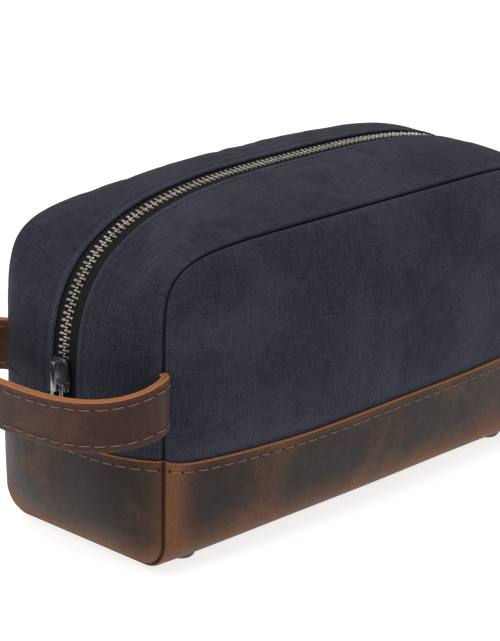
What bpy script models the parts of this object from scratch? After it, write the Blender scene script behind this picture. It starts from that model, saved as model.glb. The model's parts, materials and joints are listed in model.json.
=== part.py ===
"""Shaving kit bag: a canvas upper on a leather base, zipped from one end over the top to the other.

The bag lies along X with its carry strap on the -X end, its front panel faces -Y and its feet
stand on Z = 0. Two outlines drive the shape. The panel outline is the seam round the front and
back panels, and the zip outline is the line down the middle of the gusset. Every layer (leather,
canvas, zip tape, lining) is a sheet at its own depth from the surface stretched over them.
"""

import math

import bmesh
import bpy
from mathutils import Matrix, Vector

MM = 0.001

# Overall shape
BODY_LENGTH = 230 * MM  # between the two end seams
BODY_DEPTH = 88 * MM  # between the front seam and the back seam
PANEL_TOP = 126.5 * MM  # top of the front panel's seam
ZIP_TOP = 138 * MM  # top of the zip line
SHOULDER = 66 * MM  # height of the zip's lower ends, where both outlines are widest
PANEL_POWER = 7.5  # squareness of the panel outline's top corners
ZIP_POWER = 3.2  # squareness of the zip outline's top corners
END_BULGE = 11 * MM  # how far an end swells past the end seams
PANEL_BULGE = 9.5 * MM  # how far a panel swells past its seam
PANEL_BULGE_POWER = 3
GUSSET_POWER = 3.4  # how flat the gusset is between its seams

# Leather base
BASE_HEIGHT = 45.5 * MM
BASE_FOLD = 10 * MM  # radius of the fold between side and underside
LEATHER = 1.6 * MM
FOOT_HEIGHT = 3.4 * MM
FOOT_RADIUS = 5.6 * MM
FOOT_FACE = 3.4 * MM  # radius of the flat that stands on the ground
FOOT_INSET_X = 22 * MM  # from the end seam to the foot's centre
FOOT_INSET_Y = 13 * MM  # from the side seam to the foot's centre
PRONG_PLATE = 0.8 * MM
BOARD = 1.4 * MM
BOARD_MARGIN = 9 * MM

# Cloth layers
GAP = 0.3 * MM  # between pieces that touch
CANVAS = 1.0 * MM
LINING = 0.6 * MM
HEM = 6 * MM  # canvas tucked behind the leather
SEWN_CLEARANCE = 0.4 * MM  # between canvas and the leather over it
LINING_MARGIN = 1.2 * MM  # from a panel lining's edges to the gusset's inner face

# Zip
ZIP_WINDOW = 16 * MM  # between the two folded canvas edges
TAPE = 0.6 * MM
TAPE_OUTER = 15 * MM  # from the zip's centre to the tape's sewn edge
CHAIN_WIDTH = 5.8 * MM
CHAIN_THICK = 2.1 * MM
CHAIN_RISE = 0.8 * MM  # chain's outer face above the tape
END_TAB_LENGTH = 6 * MM
END_TAB_WIDTH = 14 * MM
END_TAB_THICK = 0.7 * MM
STOP_LENGTH = 2.4 * MM

# Slider and pull
SLIDER_START = 8.5 * MM  # along the zip, from its lower end to the slider's middle
SLIDER_TRAVEL = 24 * MM
SLIDER_LENGTH = 13 * MM
SLIDER_WIDE = 9.8 * MM
SLIDER_NARROW = 8.2 * MM
PLATE = 1.1 * MM
SLIDER_CLEARANCE = 0.2 * MM  # between the slider's channel and the chain as it curves through
TAPE_CLEARANCE = 0.7 * MM  # each side of the tape, in the slider's side slots
POST_LENGTH = 4.6 * MM
POST_WIDTH = 1.7 * MM
BRIDGE_WIDTH = 2.4 * MM
BRIDGE_THICK = 1.1 * MM
BRIDGE_ROOM = 2.3 * MM  # under the bridge, for the pull's pin
PIN_CLEARANCE = 0.45 * MM  # between the pull's pin and the bridge's leg
PULL_LENGTH = 21 * MM
PULL_WIDTH = 6.8 * MM
PULL_THICK = 1.3 * MM
PULL_WINDOW = 12 * MM
PULL_TAPER = 0.8
PULL_SLACK = 0.5 * MM  # between the bridge and the pull's arms, each side

# Strap
STRAP_WIDTH = 21.5 * MM
STRAP_LAYER = 1.6 * MM
STRAP_REACH = 33.5 * MM  # from its hinge line to its outer face
STRAP_SPREAD = 51.5 * MM  # from the middle to its outer face beside a seam
STRAP_POWER = 2.65
STRAP_HEIGHT = 71.5 * MM
STRAP_OUTSET = 4.7 * MM  # hinge line, outside the end seam
STRAP_DROOP = math.radians(9.7)
STRAP_START = 4.5 * MM  # where the free strap begins, outside its hinge line

# Depths of the layers below the canvas's outer face
TAPE_DEPTH = CANVAS + GAP
LINING_DEPTH = TAPE_DEPTH + TAPE + 0.7 * MM
LINING_BACK = LINING_DEPTH + LINING
LEATHER_OUT = SEWN_CLEARANCE + LEATHER
UNDERSIDE = FOOT_HEIGHT + LEATHER_OUT  # the canvas surface's lowest point

HALF_LENGTH = BODY_LENGTH / 2
HALF_DEPTH = BODY_DEPTH / 2
STRAP_X = HALF_LENGTH + STRAP_OUTSET
STRAP_TIP = STRAP_X + STRAP_REACH * math.cos(STRAP_DROOP) + STRAP_WIDTH / 2 * math.sin(STRAP_DROOP)
BASE_TIP = HALF_LENGTH + END_BULGE + LEATHER_OUT
CENTRE_SHIFT = (STRAP_TIP - BASE_TIP) / 2  # puts the whole bag's box over the origin

MATERIALS = {
    "canvas": ((0.026, 0.030, 0.052), 0.85, 0.0),
    "base_leather": ((0.075, 0.040, 0.022), 0.50, 0.0),
    "strap_leather": ((0.060, 0.022, 0.014), 0.45, 0.0),
    "lining": ((0.20, 0.17, 0.13), 0.90, 0.0),
    "zip_tape": ((0.010, 0.010, 0.011), 0.90, 0.0),
    "zip_metal": ((0.45, 0.42, 0.37), 0.35, 1.0),
    "slider_metal": ((0.10, 0.10, 0.11), 0.30, 1.0),
    "foot_metal": ((0.06, 0.055, 0.05), 0.35, 1.0),
    "board": ((0.35, 0.28, 0.18), 0.80, 0.0),
}


def clear_scene():
    for found in list(bpy.data.objects):
        bpy.data.objects.remove(found, do_unlink=True)


def material(name):
    found = bpy.data.materials.get(name)
    if found:
        return found
    colour, roughness, metallic = MATERIALS[name]
    made = bpy.data.materials.new(name)
    made.use_nodes = True
    shader = made.node_tree.nodes["Principled BSDF"]
    shader.inputs["Base Color"].default_value = (*colour, 1)
    shader.inputs["Roughness"].default_value = roughness
    shader.inputs["Metallic"].default_value = metallic
    made.diffuse_color = (*colour, 1)
    return made


def place(name, mesh_data, finish, parent, at=(0, 0, 0), turn=(0, 0, 0)):
    """A new object from bmesh data: a named piece with its material, under its parent."""
    bmesh.ops.recalc_face_normals(mesh_data, faces=mesh_data.faces)
    mesh = bpy.data.meshes.new(name)
    mesh_data.to_mesh(mesh)
    mesh_data.free()
    mesh.shade_smooth()
    mesh.set_sharp_from_angle(angle=math.radians(35))
    mesh.materials.append(material(finish))
    piece = bpy.data.objects.new(name, mesh)
    bpy.context.scene.collection.objects.link(piece)
    piece.parent = parent
    piece.location = at
    piece.rotation_euler = turn
    return piece


def empty(name, parent=None, at=(0, 0, 0), turn=(0, 0, 0)):
    made = bpy.data.objects.new(name, None)
    bpy.context.scene.collection.objects.link(made)
    made.parent = parent
    made.location = at
    made.rotation_euler = turn
    return made


def steps(low, high, count):
    return [low + (high - low) * i / count for i in range(count + 1)]


def signed_power(value, power):
    return math.copysign(abs(value) ** power, value)


# Outlines and surfaces


def arch_outline(half_length, rise, power, samples=720):
    """Points along a superellipse arch, from the -X shoulder over the top to the +X one."""
    points = []
    for angle in steps(math.pi, 0, samples):
        x = half_length * signed_power(math.cos(angle), 2 / power)
        z = SHOULDER + rise * max(math.sin(angle), 0) ** (2 / power)
        points.append(Vector((x, 0, z)))
    lengths = [0]
    for first, second in zip(points, points[1:]):
        lengths.append(lengths[-1] + (second - first).length)
    return points, lengths


def along(outline, share):
    """The point at a share of the outline's length."""
    points, lengths = outline
    target = min(max(share, 0), 1) * lengths[-1]
    low, high = 0, len(lengths) - 1
    while high - low > 1:
        middle = (low + high) // 2
        if lengths[middle] <= target:
            low = middle
        else:
            high = middle
    span = lengths[high] - lengths[low]
    return points[low].lerp(points[high], (target - lengths[low]) / span)


PANEL_LINE = arch_outline(HALF_LENGTH, PANEL_TOP - SHOULDER, PANEL_POWER)
ZIP_LINE = arch_outline(HALF_LENGTH + END_BULGE, ZIP_TOP - SHOULDER, ZIP_POWER)
ZIP_LENGTH = ZIP_LINE[1][-1]


def gusset_point(share, y):
    """The gusset above the shoulder: share runs over the top, y runs across."""
    swell = 1 - min(abs(y) / HALF_DEPTH, 1) ** GUSSET_POWER
    point = along(PANEL_LINE, share).lerp(along(ZIP_LINE, share), swell)
    point.y = y
    return point


def half_width(z, inset):
    """Half the width of an end at height z, with the rounded lower corners."""
    radius = BASE_FOLD - inset
    drop = min(max(UNDERSIDE + BASE_FOLD - z, 0), radius)
    return HALF_DEPTH - inset - (radius - math.sqrt(radius**2 - drop**2))


def end_point(side, z, across, inset=0.0):
    """An end below the shoulder: across runs from -1 to 1 over its width at height z."""
    y = across * half_width(z, inset)
    swell = 1 - min(abs(y) / half_width(z, 0), 1) ** GUSSET_POWER
    below = max(BASE_HEIGHT - z, 0) / (BASE_HEIGHT - UNDERSIDE)
    return Vector((side * (HALF_LENGTH + END_BULGE * swell * (1 - min(below, 1) ** 3)), y, z))


def panel_swell(across, z):
    if z > SHOULDER:
        up = (z - SHOULDER) / (PANEL_TOP - SHOULDER)
    else:
        up = (SHOULDER - z) / (SHOULDER - UNDERSIDE)
    power = PANEL_BULGE_POWER
    return PANEL_BULGE * (1 - min(abs(across), 1) ** power) * (1 - min(up, 1) ** power)


def panel_point(side, across, z):
    """A panel: across runs from -1 to 1, z is the height before its top corners are rounded."""
    up = max(z - SHOULDER, 0) / (PANEL_TOP - SHOULDER)
    largest = max(abs(across), up, 1e-9)
    size = (abs(across) ** PANEL_POWER + up**PANEL_POWER) ** (1 / PANEL_POWER)
    shrink = largest / max(size, 1e-9)
    x = across * HALF_LENGTH * shrink
    height = z if up == 0 else SHOULDER + up * shrink * (PANEL_TOP - SHOULDER)
    return Vector((x, side * (HALF_DEPTH + panel_swell(across, z)), height))


def wrap_point(across, turn):
    """The base: turn runs from -1, front edge, under the bag to 1, back edge."""
    side = math.copysign(1, turn)
    turn = abs(turn)
    if turn > 0.5:
        z = UNDERSIDE + BASE_FOLD + (BASE_HEIGHT - UNDERSIDE - BASE_FOLD) * (turn - 0.5) / 0.5
        y = HALF_DEPTH + panel_swell(across, z)
    elif turn > 0.25:
        angle = math.radians(90) * (0.5 - turn) / 0.25
        z = UNDERSIDE + BASE_FOLD * (1 - math.sin(angle))
        y = HALF_DEPTH + panel_swell(across, z) - BASE_FOLD * (1 - math.cos(angle))
    else:
        z = UNDERSIDE
        y = (HALF_DEPTH - BASE_FOLD) * turn / 0.25
    return Vector((across * HALF_LENGTH, side * y, z))


def strap_point(turn, height):
    """The strap's outer face in its own level plane: turn runs from 0, front, to pi, back."""
    x = -STRAP_REACH * max(math.sin(turn), 0) ** (2 / STRAP_POWER)
    y = -STRAP_SPREAD * signed_power(math.cos(turn), 2 / STRAP_POWER)
    return Vector((x, y, height))


# Builders


def sheet(name, surface, rows, columns, inner, outer, outward, finish, parent, at=(0, 0, 0), turn=(0, 0, 0)):
    """A closed sheet over surface(row, column), from inner to outer along its normal.

    outward(point) gives a direction that the outer face looks towards.
    """
    mesh = bmesh.new()
    faces_of = {}
    small_row = (rows[-1] - rows[0]) * 1e-4
    small_column = (columns[-1] - columns[0]) * 1e-4
    for depth in (inner, outer):
        grid = []
        for row in rows:
            line = []
            for column in columns:
                point = surface(row, column)
                step_row = surface(row + small_row, column) - surface(row - small_row, column)
                step_column = surface(row, column + small_column) - surface(row, column - small_column)
                normal = step_row.cross(step_column).normalized()
                if normal.dot(outward(point)) < 0:
                    normal.negate()
                line.append(mesh.verts.new(point + normal * depth))
            grid.append(line)
        faces_of[depth] = grid
    low, high = faces_of[inner], faces_of[outer]
    for grid in (low, high):
        for i in range(len(rows) - 1):
            for j in range(len(columns) - 1):
                mesh.faces.new((grid[i][j], grid[i + 1][j], grid[i + 1][j + 1], grid[i][j + 1]))
    last_row, last_column = len(rows) - 1, len(columns) - 1
    for i in range(last_row):
        for j in (0, last_column):
            mesh.faces.new((low[i][j], high[i][j], high[i + 1][j], low[i + 1][j]))
    for j in range(last_column):
        for i in (0, last_row):
            mesh.faces.new((low[i][j], low[i][j + 1], high[i][j + 1], high[i][j]))
    return place(name, mesh, finish, parent, at, turn)


def prism(outline, low, high):
    """A bmesh prism: outline is (y, z) points in the slider's frame, low and high are along X."""
    mesh = bmesh.new()
    face = mesh.faces.new([mesh.verts.new((low, y, z)) for y, z in outline])
    raised = bmesh.ops.extrude_face_region(mesh, geom=[face])["geom"]
    moved = [part for part in raised if isinstance(part, bmesh.types.BMVert)]
    bmesh.ops.translate(mesh, verts=moved, vec=(high - low, 0, 0))
    return mesh


def box(half_y, low_z, high_z, low_x, high_x):
    outline = [(-half_y, low_z), (half_y, low_z), (half_y, high_z), (-half_y, high_z)]
    return prism(outline, low_x, high_x)


def bevel(piece, width, segments=2):
    change = piece.modifiers.new("edges", "BEVEL")
    change.width = width
    change.segments = segments
    change.limit_method = "ANGLE"


def boolean(piece, operation, other):
    """Joins or cuts with a helper piece, which stays out of the model."""
    other.hide_render = True
    other.display_type = "WIRE"
    change = piece.modifiers.new(other.name, "BOOLEAN")
    change.operation = operation
    change.solver = "EXACT"
    change.object = other


def turned(name, profile, finish, parent, at, segments=20):
    """A solid turned about its own Z, from (radius, height) points that start and end on the axis."""
    mesh = bmesh.new()
    points = [mesh.verts.new((radius, 0, height)) for radius, height in profile]
    edges = [mesh.edges.new(pair) for pair in zip(points, points[1:])]
    bmesh.ops.spin(
        mesh, geom=points + edges, cent=(0, 0, 0), axis=(0, 0, 1), angle=2 * math.pi, steps=segments
    )
    bmesh.ops.remove_doubles(mesh, verts=mesh.verts, dist=1e-6)
    return place(name, mesh, finish, parent, at)


def away_from_middle(point):
    return Vector((point.x, point.y, point.z - SHOULDER))


def outward_side(side):
    return lambda point: Vector((0, side, 0))


def outward_end(side):
    return lambda point: Vector((side, 0, 0))


# Pieces


def upper_share(height):
    """The share of the arch outline that lies a small height above the shoulder."""
    return height / ZIP_LENGTH


def make_panels(bag):
    edge = 1 - GAP / HALF_LENGTH
    heights = steps(BASE_HEIGHT - HEM, SHOULDER, 3)[:-1] + steps(SHOULDER, PANEL_TOP, 7)
    for name, side in (("front_panel", -1), ("back_panel", 1)):
        sheet(
            name,
            lambda across, z, side=side: panel_point(side, across, z),
            steps(-edge, edge, 22),
            heights,
            -CANVAS,
            0,
            outward_side(side),
            "canvas",
            bag,
        )


def make_gusset(bag):
    """The canvas strip over the top, in two halves that the zip parts, and one piece low on each end."""
    start = upper_share(GAP)
    seam_y = HALF_DEPTH - CANVAS - GAP
    for name, side in (("front_gusset", -1), ("back_gusset", 1)):
        sheet(
            name,
            gusset_point,
            steps(start, 1 - start, 46),
            [side * y for y in steps(ZIP_WINDOW / 2, seam_y, 5)],
            -CANVAS,
            0,
            away_from_middle,
            "canvas",
            bag,
        )
    reach = seam_y / HALF_DEPTH
    for name, side in (("left_end_canvas", -1), ("right_end_canvas", 1)):
        sheet(
            name,
            lambda z, across, side=side: end_point(side, z, across),
            steps(BASE_HEIGHT - HEM, SHOULDER, 4),
            steps(-reach, reach, 10),
            -CANVAS,
            0,
            outward_end(side),
            "canvas",
            bag,
        )


def make_base(bag):
    turns = steps(0.5, 1, 3)[1:]
    turns = steps(0, 0.25, 2)[1:] + steps(0.25, 0.5, 4)[1:] + turns
    turns = [-turn for turn in reversed(turns)] + [0] + turns
    sheet(
        "base_wrap",
        wrap_point,
        steps(-1, 1, 18),
        turns,
        SEWN_CLEARANCE,
        LEATHER_OUT,
        away_from_middle,
        "base_leather",
        bag,
    )
    fold_rows = steps(UNDERSIDE + GAP, UNDERSIDE + BASE_FOLD, 4)
    rows = fold_rows + steps(UNDERSIDE + BASE_FOLD, BASE_HEIGHT, 4)[1:]
    for name, side in (("left_base_end", -1), ("right_base_end", 1)):
        sheet(
            name,
            lambda z, across, side=side: end_point(side, z, across),
            rows,
            steps(-1, 1, 10),
            SEWN_CLEARANCE,
            LEATHER_OUT,
            outward_end(side),
            "base_leather",
            bag,
        )


def make_lining(bag):
    edge = 1 - (CANVAS + LINING_MARGIN) / HALF_LENGTH
    top = PANEL_TOP - CANVAS - LINING_MARGIN
    for name, side in (("front_panel_lining", -1), ("back_panel_lining", 1)):
        sheet(
            name,
            lambda across, z, side=side: panel_point(side, across, z),
            steps(-edge, edge, 14),
            steps(BASE_HEIGHT + 1 * MM, SHOULDER, 2)[:-1] + steps(SHOULDER, top, 5),
            -LINING_BACK,
            -LINING_DEPTH,
            outward_side(side),
            "lining",
            bag,
        )
    seam_y = HALF_DEPTH - LINING_BACK - GAP
    start = upper_share(GAP)
    for name, side in (("front_gusset_lining", -1), ("back_gusset_lining", 1)):
        sheet(
            name,
            gusset_point,
            steps(start, 1 - start, 32),
            [side * y for y in steps(TAPE_OUTER - 4 * MM, seam_y, 3)],
            -LINING_BACK,
            -LINING_DEPTH,
            away_from_middle,
            "lining",
            bag,
        )
    inset = LINING_BACK + GAP
    low = UNDERSIDE + inset
    for name, side in (("left_end_lining", -1), ("right_end_lining", 1)):
        sheet(
            name,
            lambda z, across, side=side: end_point(side, z, across, inset),
            steps(low, UNDERSIDE + BASE_FOLD, 3) + steps(UNDERSIDE + BASE_FOLD, SHOULDER, 4)[1:],
            steps(-1, 1, 8),
            -LINING_BACK,
            -LINING_DEPTH,
            outward_end(side),
            "lining",
            bag,
        )
    turns = steps(0, 0.25, 1)[1:] + steps(0.25, 0.5, 3)[1:] + steps(0.5, 0.97, 2)[1:]
    turns = [-turn for turn in reversed(turns)] + [0] + turns
    sheet(
        "base_lining",
        wrap_point,
        steps(-edge, edge, 12),
        turns,
        -LINING_BACK,
        -LINING_DEPTH,
        away_from_middle,
        "lining",
        bag,
    )


def make_board(bag):
    """The stiffener between the leather underside and the lining."""
    low = UNDERSIDE + GAP + PRONG_PLATE + GAP - SEWN_CLEARANCE
    half_x = HALF_LENGTH - BOARD_MARGIN
    half_y = HALF_DEPTH - BASE_FOLD
    mesh = bmesh.new()
    bmesh.ops.create_cube(mesh, size=1)
    bmesh.ops.scale(mesh, verts=mesh.verts, vec=(2 * half_x, 2 * half_y, BOARD))
    bmesh.ops.translate(mesh, verts=mesh.verts, vec=(0, 0, low + BOARD / 2))
    upright = [edge for edge in mesh.edges if abs(edge.verts[0].co.z - edge.verts[1].co.z) > BOARD / 2]
    bmesh.ops.bevel(mesh, geom=upright, offset=BASE_FOLD, segments=5, profile=0.5, affect="EDGES")
    place("base_board", mesh, "board", bag)


def make_feet(bag):
    dome = [(0, 0), (FOOT_FACE, 0)]
    for angle in (25, 50, 75):
        turn = math.radians(angle)
        radius = FOOT_FACE + (FOOT_RADIUS - FOOT_FACE) * math.sin(turn)
        dome.append((radius, (FOOT_HEIGHT - GAP) * 0.8 * (1 - math.cos(turn))))
    dome += [(FOOT_RADIUS, (FOOT_HEIGHT - GAP) * 0.8), (FOOT_RADIUS, FOOT_HEIGHT - GAP), (0, FOOT_HEIGHT - GAP)]
    plate_low = UNDERSIDE - SEWN_CLEARANCE + GAP
    plate = [(0, 0), (FOOT_FACE, 0), (FOOT_FACE, PRONG_PLATE), (0, PRONG_PLATE)]
    for end, x in (("left", -1), ("right", 1)):
        for face, y in (("front", -1), ("back", 1)):
            spot = (x * (HALF_LENGTH - FOOT_INSET_X), y * (HALF_DEPTH - FOOT_INSET_Y))
            turned(f"foot_{face}_{end}", dome, "foot_metal", bag, (*spot, 0))
            turned(f"foot_plate_{face}_{end}", plate, "foot_metal", bag, (*spot, plate_low), 12)


def make_zip(bag):
    half_gap = GAP / 2
    chain_inner = TAPE_DEPTH + CHAIN_THICK - CHAIN_RISE
    chain_start = (SLIDER_START - SLIDER_LENGTH / 2 + POST_LENGTH + 2 * GAP) / ZIP_LENGTH
    chain_end = 1 - (STOP_LENGTH + 2 * GAP) / ZIP_LENGTH
    start = upper_share(2 * GAP)
    for name, side in (("front", -1), ("back", 1)):
        sheet(
            f"zip_tape_{name}",
            gusset_point,
            steps(start, 1 - start, 40),
            [side * y for y in (CHAIN_WIDTH / 2 + GAP, ZIP_WINDOW / 2, TAPE_OUTER)],
            -TAPE_DEPTH - TAPE,
            -TAPE_DEPTH,
            away_from_middle,
            "zip_tape",
            bag,
        )
        sheet(
            f"zip_teeth_{name}",
            gusset_point,
            steps(chain_start, chain_end, 48),
            [side * y for y in (half_gap, CHAIN_WIDTH / 2)],
            -chain_inner,
            CHAIN_RISE - TAPE_DEPTH,
            away_from_middle,
            "zip_metal",
            bag,
        )
    sheet(
        "zip_stop",
        gusset_point,
        [1 - (STOP_LENGTH + GAP) / ZIP_LENGTH, 1 - GAP / ZIP_LENGTH],
        [-CHAIN_WIDTH / 2, CHAIN_WIDTH / 2],
        -chain_inner,
        CHAIN_RISE - TAPE_DEPTH,
        away_from_middle,
        "zip_metal",
        bag,
    )
    tab_reach = END_TAB_WIDTH / BODY_DEPTH
    for name, side in (("zip_end_left", -1), ("zip_end_right", 1)):
        sheet(
            name,
            lambda z, across, side=side: end_point(side, z, across),
            [SHOULDER - END_TAB_LENGTH, SHOULDER - GAP],
            steps(-tab_reach, tab_reach, 2),
            GAP,
            GAP + END_TAB_THICK,
            outward_end(side),
            "zip_tape",
            bag,
        )


def slider_frame():
    """Where the slider sits, and the centre of the arc that the zip's lower stretch follows.

    The arc runs through the zip line at the slider's lowest, middle and highest places.
    """
    first = along(ZIP_LINE, SLIDER_START / ZIP_LENGTH)
    second = along(ZIP_LINE, (SLIDER_START + SLIDER_TRAVEL / 2) / ZIP_LENGTH)
    third = along(ZIP_LINE, (SLIDER_START + SLIDER_TRAVEL) / ZIP_LENGTH)
    a, b = second - first, third - first
    scale = 2 * (a.x * b.z - a.z * b.x)
    centre = first + Vector(
        (
            (b.z * a.length_squared - a.z * b.length_squared) / scale,
            0,
            (a.x * b.length_squared - b.x * a.length_squared) / scale,
        )
    )
    radial = (first - centre).normalized()
    lean = math.atan2(radial.z, -radial.x)
    return first, centre, lean


def make_slider(bag):
    """The slider's own frame: -X points out of the bag and Z up along the zip."""
    spot, centre, lean = slider_frame()
    clearance = SLIDER_CLEARANCE + SLIDER_LENGTH**2 / (8 * (spot - centre).length)
    travel = empty("slider_travel", bag, centre)
    frame = empty("slider_frame", travel, spot - centre, (0, lean, 0))
    chain_out = CHAIN_RISE - TAPE_DEPTH
    chain_in = chain_out - CHAIN_THICK
    out_face = -(chain_out + clearance + PLATE)
    in_face = -(chain_in - clearance - PLATE)
    top, low = SLIDER_LENGTH / 2, -SLIDER_LENGTH / 2
    wide, narrow = SLIDER_WIDE / 2, SLIDER_NARROW / 2
    shield = [(-wide, low + 1.5 * MM), (-wide * 0.75, low), (wide * 0.75, low), (wide, low + 1.5 * MM)]
    shield += [(wide, low + 5 * MM), (narrow, top - 2 * MM), (narrow * 0.8, top)]
    shield += [(-narrow * 0.8, top), (-narrow, top - 2 * MM), (-wide, low + 5 * MM)]
    body = place("slider_body", prism(shield, out_face, in_face), "slider_metal", frame)
    channel = CHAIN_WIDTH / 2 + clearance
    past = 2 * MM
    post_top = low + POST_LENGTH
    overlap = 0.05 * MM
    for side in (-1, 1):
        half = [(-overlap, top + past), (channel, top + past), (channel, low - past)]
        half += [(POST_WIDTH / 2, low - past), (POST_WIDTH / 2, post_top - POST_WIDTH), (-overlap, post_top)]
        cut = prism([(side * y, z) for y, z in half], out_face + PLATE, in_face - PLATE)
        boolean(body, "DIFFERENCE", place(f"cut_chain_{side}", cut, "slider_metal", frame))
    slot_out = TAPE_DEPTH - TAPE_CLEARANCE
    slot_in = TAPE_DEPTH + TAPE + TAPE_CLEARANCE
    for side in (-1, 1):
        near, far = side * (channel - 0.5 * MM), side * (wide + past)
        outline = [(near, low - past), (far, low - past), (far, top + past), (near, top + past)]
        slot = place(f"cut_tape_{side}", prism(outline, slot_out, slot_in), "slider_metal", frame)
        boolean(body, "DIFFERENCE", slot)

    foot = out_face - GAP
    bridge_out = foot - BRIDGE_ROOM - BRIDGE_THICK
    bridge = place(
        "slider_bridge", box(BRIDGE_WIDTH / 2, low + 0.6 * MM, top - 0.6 * MM, bridge_out, foot), "slider_metal", frame
    )
    leg = BRIDGE_THICK + 0.6 * MM
    room = box(BRIDGE_WIDTH, low + leg, top - leg, foot - BRIDGE_ROOM, foot + past)
    boolean(bridge, "DIFFERENCE", place("cut_bridge", room, "slider_metal", frame))
    bevel(bridge, 0.4 * MM)
    make_pull(frame, foot, low + leg)


def make_pull(frame, foot, leg_top):
    """A stirrup: its top bar is the pin under the bridge, and its arms pass either side of it."""
    pin = PULL_THICK / 2
    swing = empty("pull_swing", frame, (foot - BRIDGE_ROOM / 2, 0, leg_top + pin + PIN_CLEARANCE))
    half_window = BRIDGE_WIDTH / 2 + PULL_SLACK
    half = PULL_WIDTH / 2
    tip = -PULL_LENGTH + pin
    outline = [(-half, pin), (half, pin), (half, -PULL_WINDOW)]
    outline += [(half * PULL_TAPER, tip + 2 * MM), (half * PULL_TAPER - 1 * MM, tip)]
    outline += [(-half * PULL_TAPER + 1 * MM, tip), (-half * PULL_TAPER, tip + 2 * MM), (-half, -PULL_WINDOW)]
    pull = place("slider_pull", prism(outline, -PULL_THICK / 2, PULL_THICK / 2), "slider_metal", swing)
    window = box(half_window, -PULL_WINDOW, -pin, -PULL_THICK, PULL_THICK)
    boolean(pull, "DIFFERENCE", place("cut_pull", window, "slider_metal", swing))
    bevel(pull, 0.3 * MM, 1)


def make_strap(bag):
    swing = empty("strap_swing", bag, (-STRAP_X, 0, STRAP_HEIGHT), (0, -STRAP_DROOP, 0))
    start = math.asin((STRAP_START / STRAP_REACH) ** (STRAP_POWER / 2))
    turns = steps(start, math.pi - start, 32)
    heights = [-STRAP_WIDTH / 2, STRAP_WIDTH / 2]
    inner = STRAP_LAYER + GAP
    for name, depth in (("strap_outer", 0), ("strap_inner", inner)):
        sheet(
            name,
            strap_point,
            turns,
            heights,
            -depth - STRAP_LAYER,
            -depth,
            lambda point: Vector((point.x - STRAP_OUTSET, point.y, 0)),
            "strap_leather",
            swing,
        )


def main():
    clear_scene()
    bag = empty("bag", None, (CENTRE_SHIFT, 0, 0))
    make_panels(bag)
    make_gusset(bag)
    make_base(bag)
    make_lining(bag)
    make_board(bag)
    make_feet(bag)
    make_zip(bag)
    make_slider(bag)
    make_strap(bag)
    bpy.context.view_layer.update()


main()
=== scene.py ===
"""Looks of the shaving kit bag: waxed canvas over a leather base, a metal zip, a carry strap and studs."""

import json
import math

import bmesh
import bpy
import numpy as np
from bpy.props import FloatProperty, FloatVectorProperty, IntProperty, PointerProperty
from mathutils import Matrix, Vector, kdtree, noise


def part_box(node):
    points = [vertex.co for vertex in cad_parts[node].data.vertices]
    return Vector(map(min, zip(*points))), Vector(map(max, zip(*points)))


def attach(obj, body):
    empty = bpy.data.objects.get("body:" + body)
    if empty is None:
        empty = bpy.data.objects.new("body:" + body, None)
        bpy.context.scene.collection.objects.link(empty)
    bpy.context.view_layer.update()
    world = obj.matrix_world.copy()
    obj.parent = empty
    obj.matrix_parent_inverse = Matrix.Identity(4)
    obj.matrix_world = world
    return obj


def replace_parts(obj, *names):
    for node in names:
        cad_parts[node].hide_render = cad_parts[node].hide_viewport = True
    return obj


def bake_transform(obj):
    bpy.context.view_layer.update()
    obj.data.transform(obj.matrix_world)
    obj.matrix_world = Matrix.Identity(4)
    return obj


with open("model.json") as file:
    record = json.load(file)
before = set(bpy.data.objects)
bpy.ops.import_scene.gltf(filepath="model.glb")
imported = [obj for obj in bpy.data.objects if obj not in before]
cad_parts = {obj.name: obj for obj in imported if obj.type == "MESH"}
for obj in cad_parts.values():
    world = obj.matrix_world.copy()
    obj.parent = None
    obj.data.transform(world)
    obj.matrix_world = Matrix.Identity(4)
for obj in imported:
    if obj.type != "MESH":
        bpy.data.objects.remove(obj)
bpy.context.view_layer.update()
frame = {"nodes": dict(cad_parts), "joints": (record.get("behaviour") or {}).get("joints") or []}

bl_info = {
    "name": "Shaving kit bag",
    "version": (1, 0, 0),
    "blender": (4, 5, 0),
    "location": "3D View > Sidebar > Kit Bag",
    "description": "Builds the cloth, leather, zip and strap of a shaving kit bag round its packed solids",
    "category": "Object",
}

MM = 0.001

PANEL_LOW, PANEL_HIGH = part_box("front_panel")
WRAP_LOW, WRAP_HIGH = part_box("base_wrap")
GAP = 0.3 * MM  # between pieces that touch
CENTRE_X = (PANEL_LOW.x + PANEL_HIGH.x) / 2
HALF_LENGTH = (PANEL_HIGH.x - PANEL_LOW.x) / 2 + GAP
CANVAS = 1.0 * MM
LEATHER = 1.6 * MM
HALF_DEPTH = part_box("left_end_canvas")[1].y + CANVAS + GAP
PANEL_TOP = PANEL_HIGH.z
HEM_BOTTOM = PANEL_LOW.z
BASE_HEIGHT = WRAP_HIGH.z
ZIP_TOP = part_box("front_gusset")[1].z
SHOULDER = 66 * MM
UNDERSIDE = WRAP_LOW.z + 2 * MM
BASE_FOLD = 10 * MM
WALL = BASE_HEIGHT - UNDERSIDE - BASE_FOLD  # upright part of the base's wall
LEATHER_OUT = 2 * MM  # leather's outer face outside the canvas surface
TAPE_DEPTH = 1.3 * MM


def joint_point(name):
    found = [joint for joint in frame["joints"] if joint["name"] == name][0]
    return Vector(found["pos_m"])


# Sizes and colours that a user would change


def length(name, value, description):
    return FloatProperty(name=name, description=description, default=value, unit="LENGTH", precision=5)


def number(name, value, description):
    return FloatProperty(name=name, description=description, default=value)


def colour(name, value, description):
    return FloatVectorProperty(name=name, description=description, default=value, subtype="COLOR", size=3)


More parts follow.
